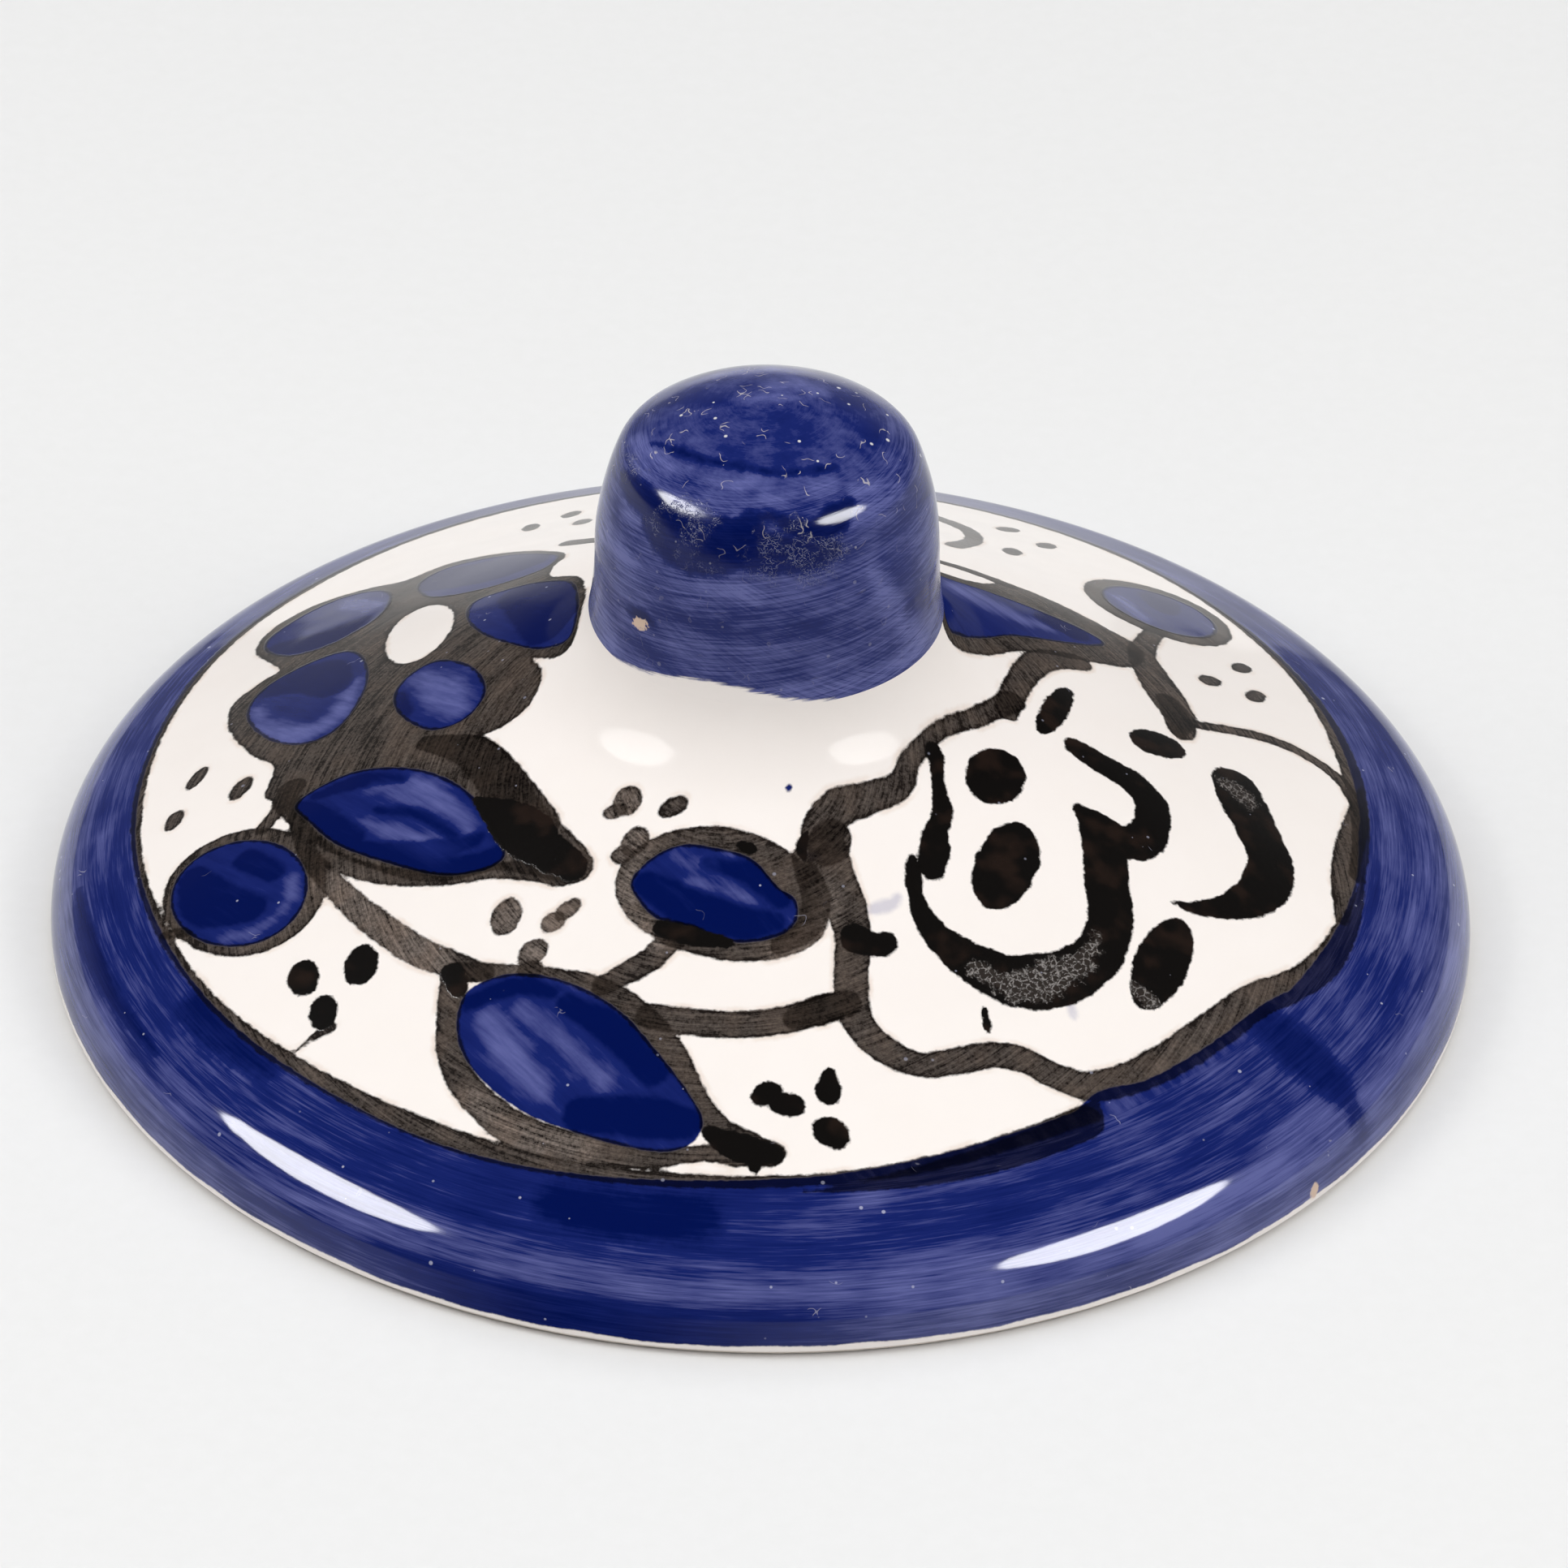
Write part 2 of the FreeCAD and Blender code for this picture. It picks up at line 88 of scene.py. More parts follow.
# Thinned black, which shows the brush's marks and painted glints of fine scratches in arcs
WASH_STROKES = (
    # Stem from the left leaf down to the lower leaf
    (
        (-27.0, -7.0, 0.9), (-26.0, -10.0, 1.1), (-25.0, -12.0, 1.3), (-23.4, -14.6, 1.5),
        (-21.4, -17.2, 1.7), (-19.4, -19.3, 1.7), (-17.5, -20.6, 1.6), (-15.5, -21.8, 1.2),
    ),
    # Tail of the left berry
    ((-34.3, -12.4, 0.7), (-32.6, -12.9, 0.8), (-31.0, -13.8, 0.8), (-29.5, -15.1, 0.7)),
    # Stalk of the left berry
    ((-29.0, -6.2, 1.0), (-28.2, -5.0, 1.1), (-27.5, -3.4, 1.8)),
    # Left leaf, lower edge
    (
        (-27.4, -4.6, 1.0), (-26.4, -8.2, 1.2), (-24.2, -11.3, 1.2), (-21.3, -13.5, 1.2),
        (-18.0, -14.8, 1.1), (-15.2, -15.2, 1.1), (-12.9, -15.9, 1.3), (-11.2, -16.5, 1.5),
    ),
    # Lower leaf, outer edge
    (
        (-17.2, -21.4, 1.7), (-17.4, -23.8, 1.5), (-17.2, -26.4, 1.6), (-15.9, -29.0, 1.7),
        (-13.2, -31.6, 2.0), (-9.4, -33.1, 1.8), (-6.0, -33.8, 1.2), (-3.0, -33.6, 1.0),
        (-1.0, -33.7, 1.4), (0.8, -33.7, 1.4),
    ),
    # Lower leaf, inner edge
    (
        (-17.2, -21.3, 1.4), (-14.6, -21.8, 1.0), (-11.8, -22.6, 1.0), (-9.0, -23.7, 1.3),
        (-6.6, -25.6, 1.6), (-4.8, -28.0, 1.7), (-3.5, -30.4, 1.5), (-2.2, -32.2, 1.6),
        (-0.4, -33.3, 1.8), (1.0, -33.6, 1.3),
    ),
    # Stem from the oval berry to the lower leaf
    ((-3.6, -20.4, 1.4), (-5.0, -21.3, 1.5), (-6.4, -22.5, 1.5), (-8.8, -23.6, 1.3)),
    # Stem from the lower leaf to the right flower
    (
        (-6.2, -25.6, 1.5), (-4.0, -26.1, 1.6), (-1.2, -26.3, 1.6), (1.4, -26.0, 1.6),
        (3.4, -25.3, 1.7), (5.0, -24.8, 1.5),
    ),
    # Second pass at the end of that stem
    ((1.9, -25.9, 1.2), (3.3, -25.4, 1.7), (4.6, -24.9, 1.5)),
    # Second pass on the ground of the left leaf
    ((-19.6, -3.6, 1.2), (-16.8, -5.9, 2.2), (-14.8, -9.4, 2.6), (-12.7, -13.0, 2.4)),
    # Second pass down the right side of the oval berry
    ((2.0, -16.5, 0.8), (2.6, -17.5, 1.4), (3.1, -19.0, 1.7), (2.6, -20.7, 1.4), (1.0, -21.8, 1.0)),
    # Right flower, from its foot by the neck round the front to the band
    (
        (14.4, -2.0, 1.6), (12.4, -4.7, 1.2), (10.0, -7.3, 0.9), (8.5, -9.5, 1.1),
        (7.7, -11.4, 1.6), (5.9, -12.6, 1.9), (4.2, -13.5, 2.2), (3.4, -15.0, 2.5),
        (3.9, -17.0, 2.6), (4.8, -19.3, 2.4), (5.2, -21.2, 2.1), (5.1, -23.6, 2.0),
        (5.5, -25.7, 1.9), (6.9, -27.2, 1.7), (9.0, -27.9, 1.5), (11.0, -27.4, 1.6),
        (12.9, -26.7, 1.6), (14.8, -26.6, 1.6), (16.6, -27.2, 1.7), (18.6, -27.3, 1.8),
        (20.9, -26.2, 1.9), (23.4, -24.1, 2.1), (25.8, -21.5, 2.2), (28.2, -18.6, 2.1),
        (30.6, -16.4, 1.9), (32.4, -14.0, 1.8), (33.7, -11.0, 1.4), (34.6, -8.0, 0.8),
        (35.2, -5.4, 0.1),
    ),
    # Right flower, left side up to the stalk
    (
        (14.0, -3.2, 1.5), (14.5, -1.0, 1.6), (15.1, 1.0, 1.7), (15.8, 2.9, 1.9),
        (16.8, 4.3, 2.0), (18.4, 5.3, 1.8),
    ),
    # Right flower, thin line over its top right
    (
        (25.4, 3.4, 0.8), (27.5, 4.4, 0.9), (29.4, 5.1, 1.0), (31.2, 5.3, 1.0),
        (32.9, 4.8, 1.0), (34.3, 3.7, 1.0), (35.0, 2.0, 1.0),
    ),
    # Back right leaf, line above it
    ((8.6, 15.6, 0.9), (12.0, 14.9, 1.0), (14.6, 14.0, 1.0)),
    # Stalk from the back right berry to the right flower, with a second pass at its end
    (
        (23.5, 14.6, 1.3), (22.9, 12.4, 1.4), (22.5, 10.0, 1.8), (23.0, 7.7, 2.4),
        (23.7, 5.6, 2.7), (24.4, 3.6, 2.3), (24.5, 2.0, 1.7),
    ),
    ((23.9, 4.9, 1.6), (24.4, 3.4, 1.8), (24.4, 1.4, 0.8)),
    # Band line, short dark pass beside the right flower
    ((33.6, -9.9, 0.9), (33.9, -6.4, 1.6), (34.4, -3.0, 1.7), (35.1, 0.4, 1.4), (35.5, 4.0, 0.2)),
    # Band line, second pass up to its blunt end
    (
        (2.6, -35.7, 0.15), (5.6, -35.2, 0.6), (9.0, -34.3, 1.2), (12.0, -33.2, 1.5),
        (14.6, -31.95, 1.7),
        (16.6, -30.8, 1.8), (18.4, -29.5, 1.9),
    ),
    # Drip under the left dots
    ((-24.2, -22.9, 0.9), (-25.1, -23.3, 0.5), (-26.3, -24.1, 0.15)),
    # Leaf at the back, both edges and its stalk
    (
        (-6.2, 20.6, 1.3), (-5.4, 24.8, 1.5), (-2.6, 28.4, 1.6), (1.6, 30.4, 1.6), (6.4, 30.6, 1.4),
    ),
    (
        (-6.2, 20.6, 1.3), (-2.0, 21.2, 1.5), (2.6, 23.4, 1.6), (5.6, 27.0, 1.5), (6.6, 30.4, 1.4),
    ),
    ((-12.0, 20.2, 1.4), (-9.4, 19.6, 1.4), (-6.2, 20.6, 1.5)),
    ((6.5, 30.5, 1.4), (9.4, 29.6, 1.3), (12.2, 26.6, 1.2), (12.6, 23.6, 1.2), (11.4, 20.8, 1.3)),
)

WASH_OVALS = (
    (-33.4, 1.3, 2.2, 1.0, 62.0),
    (-34.5, -2.3, 1.9, 1.1, 75.0),
    (-30.6, -1.5, 2.1, 1.3, 65.0),
    (-14.4, -18.4, 2.4, 1.8, 82.0),
    (-11.7, -19.3, 1.5, 1.3, 20.0),
    (-10.9, -18.7, 1.7, 1.1, 30.0),
    (-12.8, -21.0, 1.9, 1.6, 50.0),
    (-12.9, -22.0, 1.5, 1.2, 0.0),
    (-7.7, -12.6, 1.9, 1.7, 90.0),
    (-8.4, -13.1, 1.5, 1.0, 0.0),
    (-5.1, -13.4, 1.8, 1.2, 22.0),
    (-7.2, -15.2, 1.9, 1.6, 60.0),
    (-7.9, -15.9, 1.4, 1.2, 0.0),
    (3.8, -15.5, 3.0, 2.4, 60.0),
    (28.7, 13.6, 1.9, 1.1, 55.0),
    (26.6, 9.9, 1.8, 1.2, 45.0),
    (29.4, 10.2, 2.0, 1.1, 60.0),
    (15.0, 22.8, 2.0, 1.2, 80.0),
    (-14.6, 27.0, 2.0, 1.1, 85.0),
    (-12.2, 29.2, 1.9, 1.1, 70.0),
    (-11.4, 26.2, 1.8, 1.2, 80.0),
    (17.2, 26.6, 1.9, 1.1, 60.0),
    (14.9, 29.0, 1.9, 1.2, 50.0),
)

# Full black
DENSE_STROKES = (
    # Right flower, start of the big hook
    (
        (9.8, -8.6, 1.1), (10.0, -10.6, 0.8), (10.25, -12.2, 1.2), (9.95, -13.4, 1.3),
        (9.8, -14.6, 1.8), (9.6, -15.9, 1.7),
    ),
    # Right flower, big hook round the middle
    (
        (8.5, -15.7, 0.7), (8.6, -16.9, 1.0), (8.8, -18.2, 1.0), (9.5, -19.6, 1.5), (11.4, -21.1, 2.4),
        (14.0, -21.9, 3.2), (16.5, -21.3, 3.3), (18.4, -19.8, 2.8), (19.5, -18.0, 2.6),
        (19.9, -15.8, 2.7), (19.7, -13.6, 2.7), (19.6, -11.6, 2.6), (19.2, -9.7, 2.3),
    ),
    # Right flower, curl above the hook
    (
        (18.2, -4.0, 1.7), (19.4, -4.4, 2.0), (21.2, -4.9, 2.1), (22.4, -6.1, 2.2),
        (22.5, -7.8, 2.1), (22.0, -9.4, 2.3), (20.9, -10.2, 2.4), (19.4, -9.6, 1.9), (18.2, -9.0, 1.0),
    ),
    # Right flower, crescent
    (
        (27.7, -1.4, 3.0), (28.1, -3.0, 3.2), (28.9, -5.2, 3.0), (29.5, -7.2, 2.9),
        (29.2, -9.3, 2.7), (28.1, -11.2, 2.3), (26.4, -12.6, 1.5), (24.7, -13.4, 0.9),
        (23.6, -13.5, 0.4),
    ),
    # Pear-shaped dot near the front
    ((4.0, -28.9, 0.8), (3.95, -29.4, 1.15), (3.9, -29.95, 1.55)),
    # Tip of the left leaf
    (
        (-16.4, -9.8, 0.5), (-15.0, -11.4, 1.9), (-13.7, -12.9, 2.9), (-12.2, -14.7, 2.3),
        (-10.6, -16.2, 1.6),
    ),
    # Tip of the lower leaf
    ((-2.6, -32.5, 1.0), (-1.0, -33.3, 1.7), (0.9, -33.6, 1.2)),
    ((-0.3, -33.6, 1.0), (-0.1, -34.6, 0.6)),
    # Crossing of the oval berry and its stem
    ((-5.6, -20.6, 1.0), (-3.8, -21.2, 1.1), (-1.8, -21.6, 0.7)),
    # Stub on the right flower's line
    ((5.3, -21.0, 1.7), (6.4, -21.2, 1.5), (7.1, -21.0, 1.3)),
    # Wet edge at the turn of the right flower's line
    ((2.55, -15.0, 0.3), (2.3, -15.5, 0.55), (2.25, -16.0, 0.7), (2.4, -16.5, 0.4)),
    # Upper left knot of the lower leaf
    ((-17.3, -21.2, 1.3), (-16.9, -22.4, 1.1)),
)

DENSE_OVALS = (
    (-25.9, -19.0, 2.7, 1.8, 105.0),
    (-22.6, -19.2, 2.8, 2.0, 95.0),
    (-24.6, -21.8, 2.5, 1.6, 98.0),
    (0.5, -30.2, 1.8, 1.4, 20.0),
    (1.6, -30.8, 2.1, 1.4, -12.0),
    (4.1, -32.3, 2.3, 1.7, -25.0),
    (13.3, -8.7, 4.6, 3.2, 62.0),
    (13.9, -14.6, 6.7, 3.3, 68.0),
    (22.8, -18.1, 7.5, 2.9, 69.0),
    (16.9, -1.2, 5.9, 1.5, 72.0),
    (23.0, -0.4, 3.5, 2.4, 18.0),
    (12.7, -24.6, 1.6, 0.55, 98.0),
    (-0.85, -16.05, 1.3, 0.8, -20.0),
)

# Band beside the right flower, in under the flower's line
BAND_WEDGE = (
    (19.0, -28.0), (21.9, -26.4), (24.6, -24.0), (26.6, -21.8), (28.8, -19.0), (30.8, -16.9),
    (33.0, -14.6), (34.3, -12.0), (34.8, -8.0), (35.2, -4.0), (35.7, 0.6), (37.4, 0.0),
    (37.2, -6.0), (35.6, -13.0), (31.6, -20.6), (26.2, -26.8), (20.6, -31.0), (17.6, -30.6),
)

# Blue fills
BLUE_OUTLINES = (
    # Lower leaf
    (
        (-16.8, -23.6), (-15.9, -22.4), (-13.6, -22.2), (-10.6, -23.3), (-7.8, -25.3), (-5.7, -27.8),
        (-4.1, -29.9), (-3.1, -31.7), (-3.6, -32.9), (-5.0, -33.4), (-7.2, -33.0), (-10.2, -31.9),
        (-13.0, -30.4), (-15.4, -28.1), (-16.7, -25.8),
    ),
    # Back right leaf
    (
        (8.6, 11.4), (11.5, 11.5), (14.2, 11.3), (16.6, 10.9), (18.8, 10.4), (20.1, 9.6), (19.4, 8.5),
        (17.6, 7.3), (15.8, 6.3), (14.2, 5.2), (12.6, 3.2), (11.4, 1.2), (10.3, -0.2), (8.6, 4.0),
    ),
    # Leaf at the back
    (
        (-5.4, 21.4), (-1.8, 22.2), (2.2, 24.2), (4.8, 27.2), (5.6, 29.6), (1.8, 29.4),
        (-1.8, 27.6), (-4.4, 24.4),
    ),
    # Petals of the back flower
    (
        (-29.9, 9.3), (-27.0, 10.8), (-24.8, 10.4), (-23.7, 7.6), (-23.7, 4.2), (-25.0, 1.2),
        (-27.0, 0.8), (-29.2, 2.8), (-30.7, 6.4),
    ),
    (
        (-20.9, 4.2), (-19.2, 4.7), (-17.2, 2.4), (-16.3, -0.8), (-17.4, -2.7), (-19.4, -2.5),
        (-21.2, 0.0), (-21.7, 2.4),
    ),
    (
        (-29.8, 17.4), (-27.0, 20.0), (-24.4, 20.2), (-22.8, 18.2), (-23.4, 14.6), (-26.0, 12.6),
        (-28.6, 12.9), (-30.2, 15.2),
    ),
    (
        (-20.8, 19.4), (-18.8, 20.8), (-15.6, 20.2), (-13.0, 18.0), (-12.7, 16.4), (-13.8, 14.6),
        (-16.8, 14.0), (-19.8, 15.0), (-21.0, 17.2),
    ),
    (
        (-17.4, 12.0), (-15.0, 12.4), (-13.2, 11.9), (-11.6, 10.2), (-11.1, 6.0), (-11.2, 0.4),
        (-12.6, 1.0), (-14.6, 3.2), (-16.6, 6.2), (-17.7, 9.4),
    ),
    # Left leaf
    (
        (-27.0, -4.9), (-23.9, -4.0), (-20.2, -5.7), (-17.1, -8.9), (-15.3, -12.6), (-14.7, -14.4),
        (-16.2, -14.9), (-19.0, -14.1), (-23.8, -10.4), (-26.2, -7.0),
    ),
    # Oval berry
    (
        (-7.3, -17.6), (-6.2, -16.4), (-4.6, -15.8), (-2.7, -16.1), (-0.6, -16.8), (0.9, -18.4),
        (1.9, -19.1), (1.9, -20.3), (0.8, -21.2), (-1.5, -21.5), (-3.8, -20.6), (-5.8, -19.9),
        (-6.8, -18.8),
    ),
)

BLUE_OVALS = (
    # Berries: left, back right, back
    (-30.1, -10.9, 9.9, 6.8, -54.0),
    (23.9, 18.7, 7.1, 6.8, 40.0),
    (-2.6, 16.4, 6.0, 5.4, 10.0),
    # Spot near the neck
    (1.47, -12.68, 0.24, 0.15, 20.0),
)

# Black ground of the back flower, the left leaf and the back right leaf, round their blue
GROUND_OUTLINES = (
    (
        (-28.5, -3.7), (-28.5, -0.6), (-30.0, 1.7), (-31.6, 5.6), (-31.6, 8.6), (-30.0, 10.3),
        (-28.9, 11.1), (-29.6, 12.8), (-30.7, 15.5), (-29.8, 18.4), (-27.2, 20.4), (-24.2, 20.6),
        (-22.0, 20.1), (-19.1, 21.4), (-15.4, 20.6), (-12.4, 17.6), (-13.0, 14.8), (-13.0, 12.5),
        (-11.2, 10.6), (-10.8, 4.0), (-11.4, -0.8), (-13.7, 1.1), (-13.1, -1.6), (-14.2, -4.0),
        (-16.8, -4.6), (-22.0, -3.2),
    ),
    (
        (-28.4, -3.6), (-25.0, -1.6), (-20.0, -2.4), (-16.2, -5.2), (-14.2, -8.6), (-12.3, -12.2),
        (-10.2, -15.1), (-9.7, -16.3), (-10.6, -17.0), (-12.9, -16.0), (-15.2, -15.0), (-17.8, -14.9),
        (-20.4, -13.8), (-24.0, -10.8), (-26.6, -7.6),
    ),
    (
        (8.6, 12.1), (11.6, 12.2), (13.2, 12.8), (14.5, 14.2), (17.2, 13.5), (19.8, 12.3), (21.9, 11.0),
        (22.4, 9.4), (21.3, 7.4), (18.8, 6.0), (16.4, 4.9), (14.5, 3.5), (12.6, 1.2), (10.8, -0.9),
        (9.6, -0.6), (8.6, 4.0),
    ),
)

# Black ground of the berries: left, oval, back right, back
GROUND_OVALS = (
    (-29.8, -10.9, 11.8, 8.5, -54.0),
    (-2.2, -18.7, 12.45, 7.65, -15.0),
    (23.8, 18.6, 9.3, 9.0, 40.0),
    (-2.6, 16.4, 8.4, 7.8, 10.0),
)

# Centre of the back flower, left white
FLOWER_CENTRE = (-20.6, 9.8, 8.0, 4.0, 88.0)

# A second coat of blue, which reads navy
COAT_STROKES = (
    # Left leaf, lower edge, and the left of the rim
    ((-23.4, -10.4, 0.8), (-21.1, -11.8, 1.4), (-18.1, -12.7, 1.4), (-16.3, -12.7, 0.9)),
    ((-39.9, -5.6, 0.4), (-38.9, -10.4, 0.8), (-37.1, -15.7, 0.7), (-34.2, -21.3, 0.3)),
    ((-26.7, -5.6, 1.2), (-25.4, -7.6, 2.2), (-23.6, -9.6, 1.6)),
    ((-24.0, -10.6, 0.7), (-20.6, -12.9, 1.3), (-16.6, -14.4, 1.5), (-15.0, -14.2, 1.4)),
    ((-22.2, -8.0, 0.5), (-19.6, -9.6, 0.7), (-17.6, -12.0, 0.6)),
    ((-26.0, -4.9, 0.6), (-23.4, -5.0, 1.2), (-20.8, -6.2, 0.5)),
    ((-9.8, -31.0, 2.0), (-6.6, -31.4, 2.4), (-3.9, -31.9, 1.8)),
    ((-10.8, -24.4, 1.2), (-8.2, -26.2, 1.8), (-5.9, -28.8, 1.8)),
    ((-16.3, -23.4, 1.0), (-13.6, -22.9, 1.0), (-11.6, -23.6, 0.8)),
    ((-6.4, -17.9, 1.6), (-4.2, -19.4, 2.2), (-1.2, -20.4, 2.0), (0.8, -20.4, 1.2)),
    ((-3.0, -16.9, 0.8), (-0.6, -17.6, 1.2), (1.0, -19.0, 1.2)),
    ((-33.0, -8.4, 1.8), (-31.6, -11.2, 3.2), (-29.4, -12.6, 2.0)),
    ((-29.8, -8.4, 1.6), (-28.0, -10.4, 1.2)),
    ((24.0, 20.8, 2.6), (24.2, 19.4, 1.8)),
    ((16.9, 9.9, 2.0), (18.4, 9.4, 1.8)),
    ((-29.6, 8.8, 1.6), (-26.8, 8.6, 3.4), (-25.6, 6.4, 2.4)),
    ((-14.0, 10.6, 4.0), (-12.8, 6.6, 4.4), (-12.6, 3.4, 3.0)),
    ((-20.0, 18.4, 3.4), (-16.8, 17.6, 4.6), (-14.6, 17.6, 3.0)),
    ((-29.4, 14.6, 2.0), (-26.4, 13.8, 2.6), (-24.4, 14.8, 1.4)),
    ((-21.4, 2.2, 0.8), (-21.0, 0.0, 1.0)),
)

# Overlaps where the band was loaded again, with soft edges
SOFT_COAT_STROKES = (
    ((-32.2, -18.6, 1.6), (-30.6, -21.0, 2.2), (-28.8, -23.2, 1.8), (-27.4, -24.8, 0.9)),
    ((29.2, -20.1, 2.6), (30.8, -21.3, 3.2), (32.2, -22.3, 2.6), (33.6, -23.3, 1.4)),
    ((-11.0, -35.9, 2.2), (-7.0, -36.9, 2.6), (-3.0, -37.3, 2.2)),
)

# Thin blue, which reads periwinkle
THIN_STROKES = (
    ((-22.8, -8.9, 0.8), (-20.6, -10.6, 1.5), (-18.4, -12.4, 1.3), (-17.2, -13.2, 0.6)),
    ((-22.4, -5.8, 0.9), (-20.0, -7.4, 1.7), (-18.0, -9.8, 1.6), (-16.7, -11.8, 0.8)),
    ((-15.2, -24.6, 1.6), (-13.8, -27.0, 2.0), (-12.0, -29.4, 1.4)),
    ((-13.4, -24.4, 1.2), (-11.0, -26.6, 1.4), (-8.8, -29.0, 1.2)),
    ((-30.6, -14.3, 0.6), (-28.6, -14.4, 0.9), (-27.2, -13.0, 0.9), (-26.9, -11.4, 0.6)),
    ((-5.0, -16.4, 0.6), (-3.6, -17.0, 0.7), (-1.8, -16.6, 0.4)),
    ((-4.0, -17.9, 0.5), (-2.0, -18.6, 0.5), (-0.4, -19.2, 0.3)),
    ((-30.2, 6.8, 0.9), (-29.4, 4.0, 1.7), (-27.4, 1.9, 2.0), (-25.2, 2.6, 1.7), (-24.1, 6.0, 1.0)),
    ((-20.0, 3.6, 1.6), (-18.8, 0.8, 2.6), (-18.0, -1.4, 2.0)),
    ((-25.4, 19.0, 1.6), (-23.9, 17.0, 1.8)),
    ((11.4, 10.4, 2.0), (13.8, 8.8, 2.2), (16.4, 8.6, 1.2)),
    ((21.4, 18.6, 1.2), (22.8, 16.4, 1.4)),
)

# Places where the black was dry and the white shows through
DRY_STROKES = (
    ((-24.8, -12.4, 1.6), (-22.4, -16.0, 2.4), (-19.6, -19.2, 2.4), (-17.8, -20.6, 1.4)),
    ((-14.4, -18.4, 2.4), (-11.4, -19.2, 2.4)),
    ((-12.8, -21.4, 2.2), (-12.9, -22.2, 1.6)),
    ((-8.0, -12.8, 2.0), (-7.3, -15.4, 2.2)),
    ((-7.4, -17.2, 1.6), (-7.6, -19.4, 1.8), (-5.8, -21.4, 1.2)),
    ((1.0, -22.3, 1.0), (3.0, -20.8, 1.4), (3.7, -18.6, 1.2)),
    ((-29.6, -15.0, 1.0), (-27.4, -14.6, 1.2), (-25.8, -12.4, 1.0)),
    ((-16.0, -29.2, 1.2), (-13.2, -31.6, 1.6), (-9.6, -33.0, 1.4)),
)

# Stray blue touches on the white
SMUDGES = (
    (6.9, -18.9, 2.0, 0.7, 25.0),
    (7.6, -18.4, 0.9, 0.5, 60.0),
    (17.6, -22.9, 1.0, 0.5, 110.0),
    (2.9, -16.4, 0.8, 0.5, 0.0),
)

# Granular places in the black
CRUST_STROKES = (
    ((12.2, -21.7, 1.0), (14.4, -22.3, 1.7), (16.5, -21.1, 1.8), (18.4, -19.4, 1.2)),
    ((21.2, -20.4, 1.0), (21.9, -21.1, 1.2)),
    ((27.4, -1.6, 1.4), (28.4, -2.6, 1.2)),
    ((18.4, -19.4, 0.8), (19.3, -17.6, 0.6)),
)

# Lower edge of the knob's blue: degrees round it and millimetres up from its joint
KNOB_EDGE = (
    (-180.0, -0.25), (-146.0, 0.0), (-130.0, 0.5), (-117.0, 1.0), (-108.0, 1.15), (-98.0, 1.05),
    (-90.0, 0.8), (-83.0, 0.5), (-76.0, 0.24), (-69.0, 0.04), (-60.0, -0.15), (180.0, -0.25),
)

# Strokes on the knob's side: runs of (degrees round it, millimetres up from its joint, width)
KNOB_COAT = (
    (
        (-162.0, 10.7, 0.8), (-150.0, 10.7, 1.8), (-140.0, 10.6, 2.0), (-130.0, 9.9, 3.2),
        (-121.0, 9.6, 3.6), (-112.0, 9.6, 3.6), (-104.0, 10.1, 3.2), (-96.0, 10.9, 2.0),
    ),
    (
        (-98.0, 11.4, 1.4), (-88.0, 11.8, 0.7), (-78.0, 11.0, 1.4),
        (-70.0, 10.7, 1.6), (-62.0, 11.3, 1.8), (-54.0, 11.9, 0.8),
    ),
    ((-141.0, 3.5, 0.5), (-136.0, 3.85, 0.9), (-131.0, 3.8, 0.6)),
    ((-98.0, 9.8, 2.4), (-86.0, 9.6, 2.4), (-74.0, 9.4, 2.0), (-66.0, 9.6, 1.2)),
)
KNOB_SHADE = (
    (
        (-62.0, 9.7, 1.4), (-48.0, 9.6, 2.0), (-30.0, 9.5, 2.0), (20.0, 9.6, 2.2),
        (60.0, 9.9, 2.4), (100.0, 9.7, 2.6), (140.0, 10.0, 2.4), (180.0, 10.4, 2.0),
    ),
    ((-180.0, 10.4, 2.0), (-170.0, 10.6, 1.6), (-160.0, 10.7, 1.0)),
    ((-46.0, 7.8, 1.4), (-37.0, 6.2, 2.0), (-28.0, 4.2, 2.0), (-21.0, 2.8, 1.4)),
    ((-140.0, 2.0, 0.8), (-131.0, 1.9, 1.7), (-124.0, 1.5, 1.2)),
    ((-59.0, 2.5, 0.6), (-52.0, 2.0, 1.0), (-45.0, 1.6, 0.7)),
    ((-160.0, 9.6, 1.2), (-155.0, 8.2, 1.4)),
    ((-128.0, 4.9, 1.0), (-105.0, 5.3, 1.8), (-80.0, 5.2, 1.8), (-62.0, 4.8, 1.0)),
)
KNOB_THIN = (
    ((-165.0, 6.4, 1.2), (-152.0, 6.9, 1.2), (-140.0, 6.6, 1.0)),
    ((-112.0, 7.4, 0.6), (-102.0, 7.3, 0.8), (-94.0, 6.9, 0.8)),
    ((-52.0, 7.6, 0.9), (-46.0, 5.6, 1.1), (-40.0, 3.6, 1.1), (-32.0, 1.6, 1.3)),
    ((-82.0, 1.0, 0.7), (-64.0, 0.8, 1.1), (-46.0, 0.7, 1.0), (-30.0, 0.8, 1.1)),
    ((-172.0, 2.0, 1.4), (-150.0, 1.0, 1.0)),
    ((-56.0, 11.0, 0.6), (-44.0, 10.8, 0.9), (-30.0, 11.2, 0.8)),
)
